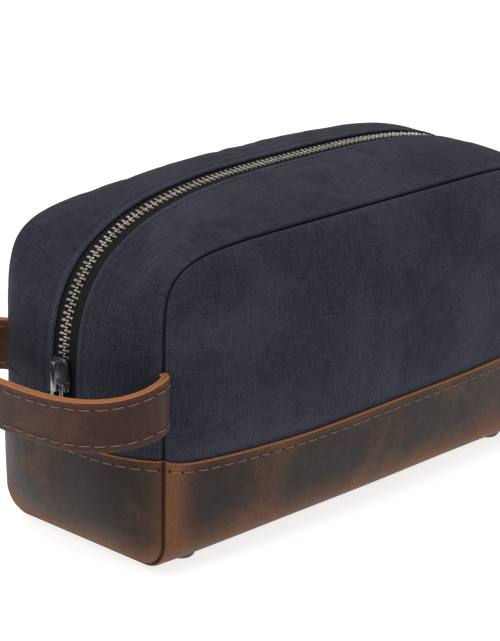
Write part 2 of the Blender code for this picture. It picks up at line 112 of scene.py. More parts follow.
class BagShape(bpy.types.PropertyGroup):
    panel_power: number("Panel corners", 7.5, "Squareness of the panel outline's top corners")
    zip_power: number("Zip line corners", 3.2, "Squareness of the zip line's top corners")
    end_bulge: length("End bulge", 11 * MM, "How far an end swells past its seams")
    panel_bulge: length("Panel bulge", 9.5 * MM, "How far a panel swells past its seam")
    gusset_power: number("Gusset flatness", 3.4, "How flat the gusset is between its seams")
    cloth_step: length("Cloth step", 1.6 * MM, "Distance between points on cloth and leather")
    canvas_seam: length("Canvas seam", 2.4 * MM, "Radius at which canvas rolls into a seam")
    leather_seam: length("Leather seam", 3.0 * MM, "Radius at which leather rolls into a seam")
    front_window: length("Front zip edge", 8.0 * MM, "From the zip's centre to the front canvas fold")
    back_window: length("Back zip edge", 5.7 * MM, "From the zip's centre to the back canvas fold")


class BagCloth(bpy.types.PropertyGroup):
    dark: colour("Canvas", (0.0068, 0.0072, 0.0125), "Canvas where the wax lies thick")
    light: colour("Rubbed canvas", (0.058, 0.062, 0.092), "Canvas where the wax is rubbed off")
    pitch: length("Thread pitch", 0.9 * MM, "Distance between neighbouring threads of the canvas")
    stitch: length("Canvas stitch", 3.3 * MM, "Length of one stitch along the zip")
    lining: colour("Lining", (0.20, 0.17, 0.13), "Cotton lining")


class BagLeather(bpy.types.PropertyGroup):
    dark: colour("Oiled leather", (0.0146, 0.0088, 0.0062), "Base leather on its flat faces")
    # The rubbed colour also serves as painted light in the band beside the base's corner seams.
    warm: colour("Rubbed leather", (0.185, 0.069, 0.025), "Base leather along folds and corners")
    edge: colour("Cut edge", (0.42, 0.155, 0.058), "Raw edge of the leather")
    strap: colour("Strap", (0.041, 0.0150, 0.0106), "Strap leather")
    thread: colour("Leather thread", (0.21, 0.115, 0.085), "Thread in the leather")
    stitch: length("Leather stitch", 6.0 * MM, "Length of one stitch in the leather")


class BagZip(bpy.types.PropertyGroup):
    pitch: length("Tooth pitch", 2.55 * MM, "Distance between neighbouring teeth of one row")
    tooth: length("Tooth width", 0.95 * MM, "Width of one tooth along the zip")
    metal: colour("Zip metal", (0.46, 0.425, 0.37), "Teeth and end stop")
    slider: colour("Slider metal", (0.34, 0.34, 0.35), "Slider, bridge and pull")


class BagStage(bpy.types.PropertyGroup):
    azimuth: number("Azimuth", 45.91, "Degrees by which the camera stands round towards the strap end")
    elevation: number("Elevation", 18.58, "Degrees by which the camera stands above the horizon")
    distance: length("Camera distance", 1.0367, "From the camera to the point it looks at")
    roll: number("Camera roll", 0.79, "Degrees by which the camera leans to its left")
    lens: number("Focal length", 141.66, "Camera's focal length in millimetres")
    key: number("Key light", 12.0, "Power of the large soft light in watts")
    seed: IntProperty(name="Seed", description="Seed for everything uneven", default=7)


# Surfaces under the cloth and leather


def steps(low, high, size):
    """Evenly spaced values from low to high, about a size apart."""
    return np.linspace(low, high, max(2, int(round(abs(high - low) / size)) + 1))


def closer(edge, inward, until, size, first=0.0):
    """Values from an edge inward that start close together and open out to a size, over a distance."""
    gaps = [first]
    step = 0.12 * MM
    while gaps[-1] + step < until:
        gaps.append(gaps[-1] + step)
        step = min(step * 1.35, size)
    return edge + inward * np.array(gaps)


def between(low, high, size, first=0.0, reach=6 * MM):
    """Values from low to high that are close together at both ends."""
    start = closer(low, 1, reach, size, first)
    end = closer(high, -1, reach, size, first)[::-1]
    middle = steps(start[-1], end[0], size)
    return np.concatenate([start, middle[1:-1], end])


class Outline:
    """A superellipse arch from the -X shoulder over the top to the +X one, read by its length."""

    def __init__(self, half_length, rise, power):
        angle = np.linspace(math.pi, 0, 2881)
        cosine = np.cos(angle)
        self.x = half_length * np.sign(cosine) * np.abs(cosine) ** (2 / power)
        self.z = SHOULDER + rise * np.maximum(np.sin(angle), 0) ** (2 / power)
        pieces = np.hypot(np.diff(self.x), np.diff(self.z))
        self.lengths = np.concatenate([[0], np.cumsum(pieces)])
        self.length = self.lengths[-1]

    def at(self, share):
        reach = np.clip(share, 0, 1) * self.length
        return np.interp(reach, self.lengths, self.x), np.interp(reach, self.lengths, self.z)

    def normal(self, share):
        """Outward direction in the XZ plane."""
        small = 0.4 * MM / self.length
        x0, z0 = self.at(share - small)
        x1, z1 = self.at(share + small)
        size = np.hypot(x1 - x0, z1 - z0)
        return -(z1 - z0) / size, (x1 - x0) / size


class Form:
    """The surfaces that every layer of the bag is stretched over, all as arrays of points."""

    def __init__(self, shape):
        self.shape = shape
        self.panel_line = Outline(HALF_LENGTH, PANEL_TOP - SHOULDER, shape.panel_power)
        self.zip_line = Outline(HALF_LENGTH + shape.end_bulge, ZIP_TOP - SHOULDER, shape.zip_power)

    def gusset(self, share, y):
        share, y = np.broadcast_arrays(share, y)
        swell = 1 - np.minimum(np.abs(y) / HALF_DEPTH, 1) ** self.shape.gusset_power
        px, pz = self.panel_line.at(share)
        zx, zz = self.zip_line.at(share)
        x = px + (zx - px) * swell
        z = pz + (zz - pz) * swell
        return np.stack([x + CENTRE_X, y, z], -1)

    def half_width(self, z, inset=0.0):
        radius = BASE_FOLD - inset
        drop = np.clip(UNDERSIDE + BASE_FOLD - z, 0, radius)
        return HALF_DEPTH - inset - (radius - np.sqrt(radius**2 - drop**2))

    def end(self, side, z, across, inset=0.0):
        z, across = np.broadcast_arrays(z, across)
        y = across * self.half_width(z, inset)
        swell = 1 - np.minimum(np.abs(y) / self.half_width(z), 1) ** self.shape.gusset_power
        below = np.clip((BASE_HEIGHT - z) / (BASE_HEIGHT - UNDERSIDE), 0, 1)
        x = side * (HALF_LENGTH + self.shape.end_bulge * swell * (1 - below**3))
        return np.stack([x + CENTRE_X, y, z], -1)

    def swell(self, across, z):
        reach = np.where(z > SHOULDER, PANEL_TOP - SHOULDER, SHOULDER - UNDERSIDE)
        up = np.abs(z - SHOULDER) / reach
        return (
            self.shape.panel_bulge
            * (1 - np.minimum(np.abs(across), 1) ** 3)
            * (1 - np.minimum(up, 1) ** 3)
        )

    def panel(self, side, across, z):
        across, z = np.broadcast_arrays(across, z)
        power = self.shape.panel_power
        up = np.maximum(z - SHOULDER, 0) / (PANEL_TOP - SHOULDER)
        largest = np.maximum(np.maximum(np.abs(across), up), 1e-9)
        size = (np.abs(across) ** power + up**power) ** (1 / power)
        shrink = largest / np.maximum(size, 1e-9)
        x = across * HALF_LENGTH * shrink
        height = np.where(up == 0, z, SHOULDER + up * shrink * (PANEL_TOP - SHOULDER))
        y = side * (HALF_DEPTH + self.swell(across, z))
        return np.stack([x + CENTRE_X, y, height], -1)

    def wrap(self, across, turn):
        """The base: turn runs from -1, front top edge, under the bag to 1, back top edge."""
        across, turn = np.broadcast_arrays(across, turn)
        side = np.where(turn < 0, -1.0, 1.0)
        turn = np.abs(turn)
        angle = math.radians(90) * np.clip((0.5 - turn) / 0.25, 0, 1)
        wall = np.clip((turn - 0.5) / 0.5, 0, None)
        fold_z = UNDERSIDE + BASE_FOLD * (1 - np.sin(angle))
        z = np.where(turn > 0.5, UNDERSIDE + BASE_FOLD + (BASE_HEIGHT - UNDERSIDE - BASE_FOLD) * wall, fold_z)
        fold_y = HALF_DEPTH + self.swell(across, z) - BASE_FOLD * (1 - np.cos(angle))
        y = np.where(turn < 0.25, (HALF_DEPTH - BASE_FOLD) * turn / 0.25, fold_y)
        return np.stack([across * HALF_LENGTH + CENTRE_X, side * y, z], -1)


def unit(vectors):
    return vectors / np.maximum(np.linalg.norm(vectors, axis=-1, keepdims=True), 1e-20)


def normals_of(surface, rows, columns, outward):
    """Normals of surface(row, column) that look the way outward does."""
    small = 1e-5
    step_row = surface(rows + small, columns) - surface(rows - small, columns)
    step_column = surface(rows, columns + small) - surface(rows, columns - small)
    normal = unit(np.cross(step_row, step_column))
    flip = np.sum(normal * outward, axis=-1, keepdims=True) < 0
    return np.where(flip, -normal, normal)


def rippled(points, wavelength, seed):
    """Smooth noise from -1 to 1 at each point."""
    flat = points.reshape(-1, 3) / wavelength + seed * 7.3
    return np.array([noise.noise(Vector(point)) for point in flat]).reshape(points.shape[:-1])


PANEL_PRESSURE = 30.0
GUSSET_PRESSURE = 80.0
SEAM_SHADE = 0.6 * MM  # reach of the dark line along a canvas seam, partly dirt and partly painted shade
# reach of the same dark line along a leather seam, partly dirt and partly painted shade
LEATHER_SEAM_SHADE = 1.1 * MM
CUT_SHOWS = 0.42 * MM  # how far the raw colour of a cut edge reaches round it


def settled(surface, rows, columns, held, push, limit=2.2 * MM, frames=20):
    """Lets cloth over surface(row, column) swell, held where held(rows, columns) is 1.

    Returns a function that gives the cloth's movement at any rows and columns."""
    u, v = np.meshgrid(rows, columns, indexing="ij")
    points = surface(u, v)
    index = np.arange(u.size).reshape(u.shape)
    quads = np.stack([index[:-1, :-1], index[1:, :-1], index[1:, 1:], index[:-1, 1:]], -1).reshape(-1, 4)
    flat = points.reshape(-1, 3)
    middle = quads[len(quads) // 2]
    facing = np.cross(flat[middle[1]] - flat[middle[0]], flat[middle[3]] - flat[middle[0]])
    if np.dot(facing, flat[middle[0]] - np.array([CENTRE_X, 0, SHOULDER])) < 0:
        quads = quads[:, ::-1]
    mesh = bpy.data.meshes.new("cloth")
    mesh.from_pydata(points.reshape(-1, 3).tolist(), [], quads.tolist())
    sheet = bpy.data.objects.new("cloth", mesh)
    bpy.context.scene.collection.objects.link(sheet)
    group = sheet.vertex_groups.new(name="held")
    weights = held(u, v).ravel()
    for vertex, weight in enumerate(weights):
        group.add([vertex], float(weight), "REPLACE")
    cloth = sheet.modifiers.new("cloth", "CLOTH")
    cloth.settings.vertex_group_mass = "held"
    cloth.settings.quality = 6
    cloth.settings.mass = 0.25
    cloth.settings.tension_stiffness = 40
    cloth.settings.compression_stiffness = 25
    cloth.settings.shear_stiffness = 10
    cloth.settings.bending_stiffness = 6
    cloth.settings.shrink_min = -0.006
    cloth.settings.use_pressure = True
    cloth.settings.uniform_pressure_force = push
    cloth.settings.effector_weights.gravity = 0
    cloth.point_cache.frame_end = frames
    for frame_number in range(1, frames + 1):
        bpy.context.scene.frame_set(frame_number)
    ready = sheet.evaluated_get(bpy.context.evaluated_depsgraph_get())
    moved = np.empty(u.size * 3)
    ready.data.vertices.foreach_get("co", moved)
    moved = moved.reshape(points.shape) - points
    size = np.linalg.norm(moved, axis=-1, keepdims=True)
    moved = moved * np.tanh(size / limit) / np.maximum(size / limit, 1e-9)
    discard(sheet)
    bpy.context.scene.frame_set(1)

    def movement(r, c):
        row = np.interp(r, rows, np.arange(len(rows)))
        column = np.interp(c, columns, np.arange(len(columns)))
        low_row = np.minimum(row.astype(int), len(rows) - 2)
        low_column = np.minimum(column.astype(int), len(columns) - 2)
        a = (row - low_row)[..., None]
        b = (column - low_column)[..., None]
        a, b = a * a * (3 - 2 * a), b * b * (3 - 2 * b)
        near = moved[low_row, low_column] * (1 - b) + moved[low_row, low_column + 1] * b
        far = moved[low_row + 1, low_column] * (1 - b) + moved[low_row + 1, low_column + 1] * b
        return near * (1 - a) + far * a

    return movement


def bounded(lift, deepest=1.1 * MM):
    """Lets cloth rise freely, but sink no deeper than its lining allows."""
    return np.where(lift < 0, -deepest * np.tanh(-lift / deepest), lift)


class Seam:
    """A seam's line with, at each of its points, the direction in which the pieces roll into it."""

    def __init__(self, points, inward):
        self.inward = unit(inward)
        self.tree = kdtree.KDTree(len(points))
        for index, point in enumerate(points):
            self.tree.insert(Vector(point), index)
        self.tree.balance()

    def near(self, points):
        """Distance to the seam and its inward direction, for each point."""
        found = [self.tree.find(Vector(point)) for point in points.reshape(-1, 3)]
        distance = np.array([hit[2] for hit in found]).reshape(points.shape[:-1])
        inward = self.inward[[hit[1] for hit in found]].reshape(points.shape)
        return distance, inward

    def rolled(self, points, radius, flap=0.0):
        """Points drawn into the seam over a radius; flap draws edge points further in."""
        distance, inward = self.near(points)
        share = np.clip(1 - distance / radius, 0, 1)
        drop = radius * (1 - np.sqrt(1 - share**2))
        return inward * (drop + flap)[..., None], distance


def canvas_seam(form, side):
    """Round a panel, from its hem on the -X end over the top to its hem on the +X end."""
    share = np.linspace(0, 1, 3600)
    x, z = form.panel_line.at(share)
    nx, nz = form.panel_line.normal(share)
    low = np.arange(HEM_BOTTOM - 4 * MM, SHOULDER, 0.12 * MM)
    xs = np.concatenate([np.full(len(low), -HALF_LENGTH), x, np.full(len(low), HALF_LENGTH)])
    zs = np.concatenate([low, z, low[::-1]])
    nxs = np.concatenate([np.full(len(low), -1.0), nx, np.full(len(low), 1.0)])
    nzs = np.concatenate([np.zeros(len(low)), nz, np.zeros(len(low))])
    points = np.stack([xs + CENTRE_X, np.full(len(xs), side * HALF_DEPTH), zs], -1)
    inward = -np.stack([nxs, np.full(len(xs), float(side)), nzs], -1)
    return Seam(points, inward)


END_RISE = 3.4 * MM  # of the leather's top edge on the ends, above the base height
SAG = 1.0 * MM  # of the hand-cut top edge along the long sides


def edge_rise(across):
    """How far the leather's top edge on a long side stands above the base height."""
    corner = HALF_LENGTH * (1 - np.minimum(np.abs(across), 1))
    along = HALF_LENGTH * (1 + across)
    return END_RISE * np.exp(-corner / (6.5 * MM)) - SAG * np.exp(-(((along - 72 * MM) / (36 * MM)) ** 2))


def raised(turn, rise):
    """A place round the base, with its upright walls made taller by rise."""
    wall = np.maximum(np.abs(turn) - 0.5, 0) * (1 + rise / WALL)
    return np.sign(turn) * (np.minimum(np.abs(turn), 0.5) + wall)


MITRE = 1.8 * MM  # how far each leather face reaches past the canvas seam to meet the other


def leather_seam(form, end):
    """Round an end of the base, from the front top edge under the bag to the back one."""
    turn = np.linspace(-1.1, 1.1, 1800)
    across = np.full(len(turn), float(end))
    points = form.wrap(across, turn)
    away = points - np.array([0, 0, SHOULDER])
    away[:, 0] = 0
    normal = normals_of(form.wrap, across, turn, away)
    normal[:, 0] = 0
    normal = unit(normal)
    outward_end = np.array([float(end), 0, 0])
    points = points + (normal + outward_end) * MITRE
    return Seam(points, -(normal + outward_end))


# Meshes


def finished(name, mesh, material):
    mesh.materials.append(material)
    piece = bpy.data.objects.new(name, mesh)
    bpy.context.scene.collection.objects.link(piece)
    return piece


def store(mesh, values):
    """Stores arrays of numbers or of vectors on the points of a mesh."""
    for name, value in values.items():
        kind = "FLOAT_VECTOR" if value.ndim == 2 else "FLOAT"
        layer = mesh.attributes.new(name, kind, "POINT")
        layer.data.foreach_set("vector" if value.ndim == 2 else "value", value.astype(np.float32).ravel())


def skin(name, outer, inner, material, values, smooth_angle=50):
    """A closed sheet between two grids of points, with values from the grid kept as attributes."""
    rows, columns = outer.shape[:2]
    count = rows * columns
    index = np.arange(count).reshape(rows, columns)
    quads = np.stack([index[:-1, :-1], index[1:, :-1], index[1:, 1:], index[:-1, 1:]], -1).reshape(-1, 4)
    border = np.concatenate([index[0, :-1], index[:-1, -1], index[-1, :0:-1], index[:0:-1, 0]])
    following = np.roll(border, -1)
    rim = np.stack([border, following, following + count, border + count], -1)
    faces = np.concatenate([quads, quads[:, ::-1] + count, rim])
    points = np.concatenate([outer.reshape(-1, 3), inner.reshape(-1, 3)])
    middle = quads[len(quads) // 2 + columns // 2]
    a, b, d = points[middle[0]], points[middle[1]], points[middle[3]]
    if np.dot(np.cross(b - a, d - a), points[middle[0]] - points[middle[0] + count]) < 0:
        faces = faces[:, ::-1]
    mesh = bpy.data.meshes.new(name)
    mesh.from_pydata(points.tolist(), [], faces.tolist())
    doubled = {}
    for key, value in values.items():
        flat = value.reshape(count, -1)
        doubled[key] = np.concatenate([flat, flat]).squeeze()
    store(mesh, doubled)
    mesh.shade_smooth()
    mesh.set_sharp_from_angle(angle=math.radians(smooth_angle))
    return finished(name, mesh, material)


def line(*rows):
    """A helper object: paths of edges, each with its points and the directions that they face."""
    edges = []
    count = 0
    for points, _ in rows:
        edges += [(count + i, count + i + 1) for i in range(len(points) - 1)]
        count += len(points)
    mesh = bpy.data.meshes.new("path")
    mesh.from_pydata(np.concatenate([points for points, _ in rows]).tolist(), edges, [])
    store(mesh, {"facing": unit(np.concatenate([facing for _, facing in rows]))})
    path = bpy.data.objects.new("path", mesh)
    bpy.context.scene.collection.objects.link(path)
    return path


def discard(*objects):
    for found in objects:
        bpy.data.objects.remove(found, do_unlink=True)


# Geometry nodes


def row_tree():
    """A row of like parts along a path, each turned to the path and to the way its point faces."""
    found = bpy.data.node_groups.get("row of parts")
    if found:
        return found
    tree = bpy.data.node_groups.new("row of parts", "GeometryNodeTree")
    tree.is_modifier = True
    sockets = (
        ("Path", "INPUT", "NodeSocketGeometry"),
        ("Part", "INPUT", "NodeSocketObject"),
        ("Pitch", "INPUT", "NodeSocketFloat"),
        ("Start", "INPUT", "NodeSocketFloat"),
        ("Unevenness", "INPUT", "NodeSocketFloat"),
        ("Seed", "INPUT", "NodeSocketInt"),
        ("Finish", "INPUT", "NodeSocketMaterial"),
        ("Row", "OUTPUT", "NodeSocketGeometry"),
    )
    for name, way, kind in sockets:
        tree.interface.new_socket(name, in_out=way, socket_type=kind)

    def node(kind, links=(), **settings):
        made = tree.nodes.new(kind)
        for key, value in settings.items():
            setattr(made, key, value)
        for key, value in dict(links).items():
            if hasattr(value, "is_output"):
                tree.links.new(value, made.inputs[key])
            else:
                made.inputs[key].default_value = value
        return made

    given = node("NodeGroupInput").outputs
    curve = node("GeometryNodeMeshToCurve", {0: given["Path"]}).outputs[0]
    end = node("GeometryNodeCurveLength", {0: curve}).outputs[0]
    kept = {0: curve, "Start_001": given["Start"], "End_001": end}
    trimmed = node("GeometryNodeTrimCurve", kept, mode="LENGTH")
    spaced = node(
        "GeometryNodeResampleCurve",
        {0: trimmed.outputs[0], "Length": given["Pitch"]},
        mode="LENGTH",
    )
    facing = node("GeometryNodeInputNamedAttribute", {"Name": "facing"}, data_type="FLOAT_VECTOR").outputs[0]
    heading = node("GeometryNodeInputTangent").outputs[0]
    aimed = node("FunctionNodeAxesToRotation", {0: facing, 1: heading}, primary_axis="Z", secondary_axis="X")
    back = node("ShaderNodeMath", {0: given["Unevenness"], 1: -1.0}, operation="MULTIPLY").outputs[0]
    wobble = node(
        "FunctionNodeRandomValue",
        {"Min": back, "Max": given["Unevenness"], "Seed": given["Seed"]},
        data_type="FLOAT_VECTOR",
    ).outputs[0]
    turned = node("FunctionNodeEulerToRotation", {0: wobble}).outputs[0]
    both = {0: aimed.outputs[0], 1: turned}
    final = node("FunctionNodeRotateRotation", both, rotation_space="LOCAL").outputs[0]
    part = node("GeometryNodeObjectInfo", {"Object": given["Part"]}).outputs["Geometry"]
    placed = node(
        "GeometryNodeInstanceOnPoints", {"Points": spaced.outputs[0], "Instance": part, "Rotation": final}
    ).outputs[0]
    real = node("GeometryNodeRealizeInstances", {0: placed}).outputs[0]
    dressed = node("GeometryNodeSetMaterial", {"Geometry": real, "Material": given["Finish"]}).outputs[0]
    node("NodeGroupOutput", {0: dressed})
    return tree


def row_of(name, part, path, pitch, finish, start=0.0, unevenness=0.0, seed=1):
    """Runs the row tree on a path and keeps the result as a plain mesh object."""
    tree = row_tree()
    change = path.modifiers.new("row", "NODES")
    change.node_group = tree
    given = {
        "Part": part,
        "Pitch": pitch,
        "Start": start,
        "Unevenness": unevenness,
        "Seed": seed,
        "Finish": finish,
    }
    for item in tree.interface.items_tree:
        if item.name in given and item.in_out == "INPUT":
            change[item.identifier] = given[item.name]
    bpy.context.view_layer.update()
    ready = path.evaluated_get(bpy.context.evaluated_depsgraph_get())
    mesh = bpy.data.meshes.new_from_object(ready)
    path.modifiers.remove(change)
    if not mesh.polygons:
        raise RuntimeError(f"{name} came out empty")
    mesh.name = name
    mesh.materials.clear()
    mesh.polygons.foreach_set("material_index", [0] * len(mesh.polygons))
    return finished(name, mesh, finish)


def helper(name, mesh):
    data = bpy.data.meshes.new(name)
    mesh.to_mesh(data)
    mesh.free()
    data.shade_smooth()
    made = bpy.data.objects.new(name, data)
    bpy.context.scene.collection.objects.link(made)
    return made


def stitch_part(size, width, height):
    """One stitch: a flattened strand that dives into its holes at both ends."""
    mesh = bmesh.new()
    rings = []
    sides = 8
    for along_share in np.linspace(-1, 1, 7):
        swell = math.sqrt(max(1 - abs(along_share) ** 3, 0.05))
        x = along_share * size / 2
        z = height * (0.35 - 0.9 * abs(along_share) ** 4)
        ring = []
        for turn in range(sides):
            angle = 2 * math.pi * turn / sides
            y = width / 2 * swell * math.cos(angle)
            ring.append(mesh.verts.new((x, y, z + height / 2 * swell * math.sin(angle))))
        rings.append(ring)
    for first, second in zip(rings, rings[1:]):
        for i in range(sides):
            j = (i + 1) % sides
            mesh.faces.new((first[i], first[j], second[j], second[i]))
    mesh.faces.new(rings[0])
    mesh.faces.new(rings[-1])
    bmesh.ops.recalc_face_normals(mesh, faces=mesh.faces)
    return helper("stitch", mesh)


def hole_part(long, wide):
    """The dent at a stitch's end: a shallow lens whose rim attribute grows from its middle."""
    mesh = bmesh.new()
    bmesh.ops.create_uvsphere(mesh, u_segments=12, v_segments=8, radius=0.5)
    rim = mesh.verts.layers.float.new("rim")
    for vert in mesh.verts:
        vert[rim] = 2 * math.hypot(vert.co.x, vert.co.y)
    bmesh.ops.scale(mesh, verts=mesh.verts, vec=(long, wide, 0.16 * MM))
    return helper("hole", mesh)


def tooth_part(zip_sizes):
    """One tooth of the front row: legs over the tape's bead, and a narrower head past the centre."""
    thick = zip_sizes.tooth
    mesh = bmesh.new()
    outline = (
        (-2.90 * MM, 0.34, 0.46 * MM),
        (-2.75 * MM, 0.50, 0.72 * MM),
        (-2.15 * MM, 0.52, 0.78 * MM),
        (-1.55 * MM, 0.46, 0.60 * MM),
        (-0.75 * MM, 0.38, 0.52 * MM),
        (-0.20 * MM, 0.44, 0.74 * MM),
        (0.45 * MM, 0.48, 0.76 * MM),
        (0.85 * MM, 0.30, 0.48 * MM),
    )
    soft = 0.2 * MM
    rings = []
    for y, share, high in outline:
        half = share * thick
        low = -1.25 * MM
        corners = (
            (-half, low + soft),
            (-half, high - soft),
            (-half + soft, high),
            (half - soft, high),
            (half, high - soft),
            (half, low + soft),
            (half - soft, low),
            (-half + soft, low),
        )
        rings.append([mesh.verts.new((x, y, z)) for x, z in corners])
    sides = len(rings[0])
    for first, second in zip(rings, rings[1:]):
        for i in range(sides):
            j = (i + 1) % sides
            mesh.faces.new((first[i], first[j], second[j], second[i]))
    mesh.faces.new(rings[0])
    mesh.faces.new(rings[-1])
    bmesh.ops.recalc_face_normals(mesh, faces=mesh.faces)
    return helper("tooth", mesh)


# Materials


class Value:
    """A socket in a material. Sums on number sockets add Math nodes."""

    def __init__(self, finish, socket):
        self.finish, self.socket = finish, socket

    def _sum(self, operation, first, second=None):
        sockets = {0: first} if second is None else {0: first, 1: second}
        return self.finish.node("Math", {"operation": operation}, sockets)

    def __add__(self, other):
        return self._sum("ADD", self, other)

    def __sub__(self, other):
        return self._sum("SUBTRACT", self, other)

    def __rsub__(self, other):
        return self._sum("SUBTRACT", other, self)

    def __mul__(self, other):
        return self._sum("MULTIPLY", self, other)

    def __truediv__(self, other):
        return self._sum("DIVIDE", self, other)

    def __pow__(self, other):
        return self._sum("POWER", self, other)

    def __abs__(self):
        return self._sum("ABSOLUTE", self)

    def sine(self):
        return self._sum("SINE", self)

    def most(self, other):
        return self._sum("MAXIMUM", self, other)

    def least(self, other):
        return self._sum("MINIMUM", self, other)

    def spread(self, low, high):
        """0 below low, 1 above high, smooth between."""
        settings = {"interpolation_type": "SMOOTHSTEP"}
        return self.finish.node("MapRange", settings, {0: self, 1: low, 2: high, 3: 0.0, 4: 1.0})

    __radd__ = __add__
    __rmul__ = __mul__


class Finish:
    """A material with one Principled shader, built up node by node."""

    def __init__(self, name, colour, roughness, metallic=0.0, **constants):
        self.material = bpy.data.materials.new(name)
        self.material.use_nodes = True
        self.tree = self.material.node_tree
        self.shader = self.tree.nodes["Principled BSDF"]
        self.material.diffuse_color = (*colour, 1)
        self.shader.inputs["Base Color"].default_value = (*colour, 1)
        self.shader.inputs["Roughness"].default_value = roughness
        self.shader.inputs["Metallic"].default_value = metallic
        for key, value in constants.items():
            self.shader.inputs[key.replace("_", " ")].default_value = value
        self.place = self.node("TexCoord", output="Object")

    def node(self, kind, settings=(), sockets=(), output=0):
        made = self.tree.nodes.new("ShaderNode" + kind)
        for key, value in dict(settings).items():
            if key == "stops":
                for stop, (position, shade) in zip(made.color_ramp.elements, value):
                    stop.position, stop.color = position, shade
            else:
                setattr(made, key, value)
        for key, value in dict(sockets).items():
            if isinstance(value, Value):
                self.tree.links.new(value.socket, made.inputs[key])
            else:
                made.inputs[key].default_value = value
        return Value(self, made.outputs[output])

    def attribute(self, name, vector=False):
        return self.node("Attribute", {"attribute_name": name}, output="Vector" if vector else "Fac")

    def noise(self, scale, detail=2.0, roughness=0.5, where=None, distortion=0.0):
        sockets = {"Vector": where or self.place, "Scale": scale, "Detail": detail}
        sockets.update({"Roughness": roughness, "Distortion": distortion})
        return self.node("TexNoise", {}, sockets)

    def stretched(self, where, scale):
        return self.node("Mapping", {}, {"Vector": where, "Scale": scale})

    def split(self, where):
        made = self.node("SeparateXYZ", {}, {0: where})
        outputs = made.socket.node.outputs
        return [Value(self, outputs[i]) for i in range(3)]

    def mix(self, share, first, second):
        """A colour between two colours."""
        first, second = [(*c, 1) if isinstance(c, (tuple, list)) else c for c in (first, second)]
        return self.node("Mix", {"data_type": "RGBA"}, {0: share, 6: first, 7: second}, output=2)

    def scaled(self, colour, share):
        """A colour made darker or lighter by a number."""
        return self.node("VectorMath", {"operation": "SCALE"}, {0: colour, "Scale": share})

    def bump(self, height, distance, strength=1.0, after=None):
        sockets = {"Height": height, "Distance": distance, "Strength": strength}
        if after:
            sockets["Normal"] = after
        return self.node("Bump", {}, sockets)

    def feed(self, **values):
        for key, value in values.items():
            self.tree.links.new(value.socket, self.shader.inputs[key.replace("_", " ")])
        return self.material


def shade(value):
    return tuple(value[:])


def canvas_finish(cloth):
    """Plain weave, uneven wax and pale rubs."""
    finish = Finish("canvas", shade(cloth.dark), 0.8, Sheen_Weight=0.03, Specular_IOR_Level=0.18)
    weave = finish.attribute("cloth", vector=True)
    along, across, _ = finish.split(weave)
    turn = math.pi / cloth.pitch
    uneven = finish.noise(900, 1, 0.5, finish.stretched(weave, (0.15, 1, 1))) - 0.5
    other = finish.noise(900, 1, 0.5, finish.stretched(weave, (1, 0.15, 1))) - 0.5
    warp = ((along + other * (0.25 * cloth.pitch)) * turn).sine()
    weft = ((across + uneven * (0.25 * cloth.pitch)) * turn).sine()
    over = (warp * weft).spread(-0.25, 0.25)
    height = abs(warp) * over + abs(weft) * (1 - over)
    crown = height.spread(0.35, 1.0)
    wax = finish.noise(26, 4, 0.55, distortion=0.4).spread(0.42, 0.66)
    mottle = finish.noise(140, 3, 0.6)
    slub = (uneven + other) * 1.1
    rub = finish.attribute("rub") * (0.45 + mottle * 1.1)
    light = (0.30 + 0.30 * wax + rub * 0.8 + slub * 0.6).most(0.0) * (0.12 + 1.1 * crown)
    fleck = finish.noise(1300, 1, 0.5).spread(0.60, 0.72) * 0.30
    # Darker along seams: partly dirt caught in the seam, partly painted shade of its recess.
    seam_dirt_and_shade = 1 - 0.85 * finish.attribute("seam").spread(0.10, 0.75)
    base = finish.mix(((light + fleck) * seam_dirt_and_shade).least(1.0), shade(cloth.dark), shade(cloth.light))
    base = finish.scaled(base, seam_dirt_and_shade)
    crumple = finish.noise(60, 4, 0.55)
    bump = finish.bump(height, 0.16 * MM, 0.9, after=finish.bump(crumple, 0.5 * MM, 0.5))
    return finish.feed(Base_Color=base, Roughness=0.72 + 0.18 * crown, Normal=bump)


def leather_finish(leather, name, flat, strap=False):
    """Oiled leather that turns lighter and warmer where it is folded, rubbed or cut; on the base the band
    beside each corner seam is partly painted light.
    """
    finish = Finish(name, flat, 0.48, Specular_IOR_Level=0.22 if strap else 0.25)
    wear = finish.attribute("wear")
    cloud = finish.noise(30, 5, 0.6, distortion=0.6)
    fine = finish.noise(170, 4, 0.65)
    scuff = finish.noise(300, 3, 0.6, finish.stretched(finish.place, (1.0, 0.35, 0.25))).spread(0.60, 0.76)
    amount = 0.22 if strap else 0.36
    worn = wear * (0.15 + 1.1 * fine + 0.6 * cloud)
    rubbed = (worn + cloud.spread(0.45, 0.70) * amount + scuff * 0.18).least(1.0)
    tone = finish.mix(rubbed, flat, shade(leather.warm))
    pores = finish.noise(650, 3, 0.7)
    depth = (fine.spread(0.30, 0.75) + pores.spread(0.35, 0.65)) * 0.45
    deep = finish.mix(depth, tone, finish.scaled(tone, 0.45))
    cut = (finish.attribute("edge") + (fine - 0.5) * 0.5).spread(0.42, 0.62)
    burnish = finish.mix(
        finish.noise(420, 3, 0.6),
        shade(leather.edge),
        tuple(0.62 * c for c in shade(leather.edge)),
    )
    base = finish.mix(cut, deep, burnish)
    # Darker along seams: partly dirt caught in the seam, partly painted shade of its recess.
    base = finish.scaled(base, 1 - 0.9 * finish.attribute("seam").spread(0.12, 0.8))
    cells = {"Vector": finish.place, "Scale": 1100, "Smoothness": 0.6}
    grain = finish.node("TexVoronoi", {"feature": "SMOOTH_F1"}, cells)
    crease = finish.noise(90, 5, 0.6, distortion=1.2)
    first = finish.bump(crease, 0.35 * MM, 0.35)
    bump = finish.bump(grain + fine * 0.8, 0.05 * MM, 0.55, after=first)
    rough = 0.40 + 0.18 * fine + 0.12 * rubbed + 0.22 * cut
    return finish.feed(Base_Color=base, Roughness=rough, Normal=bump)


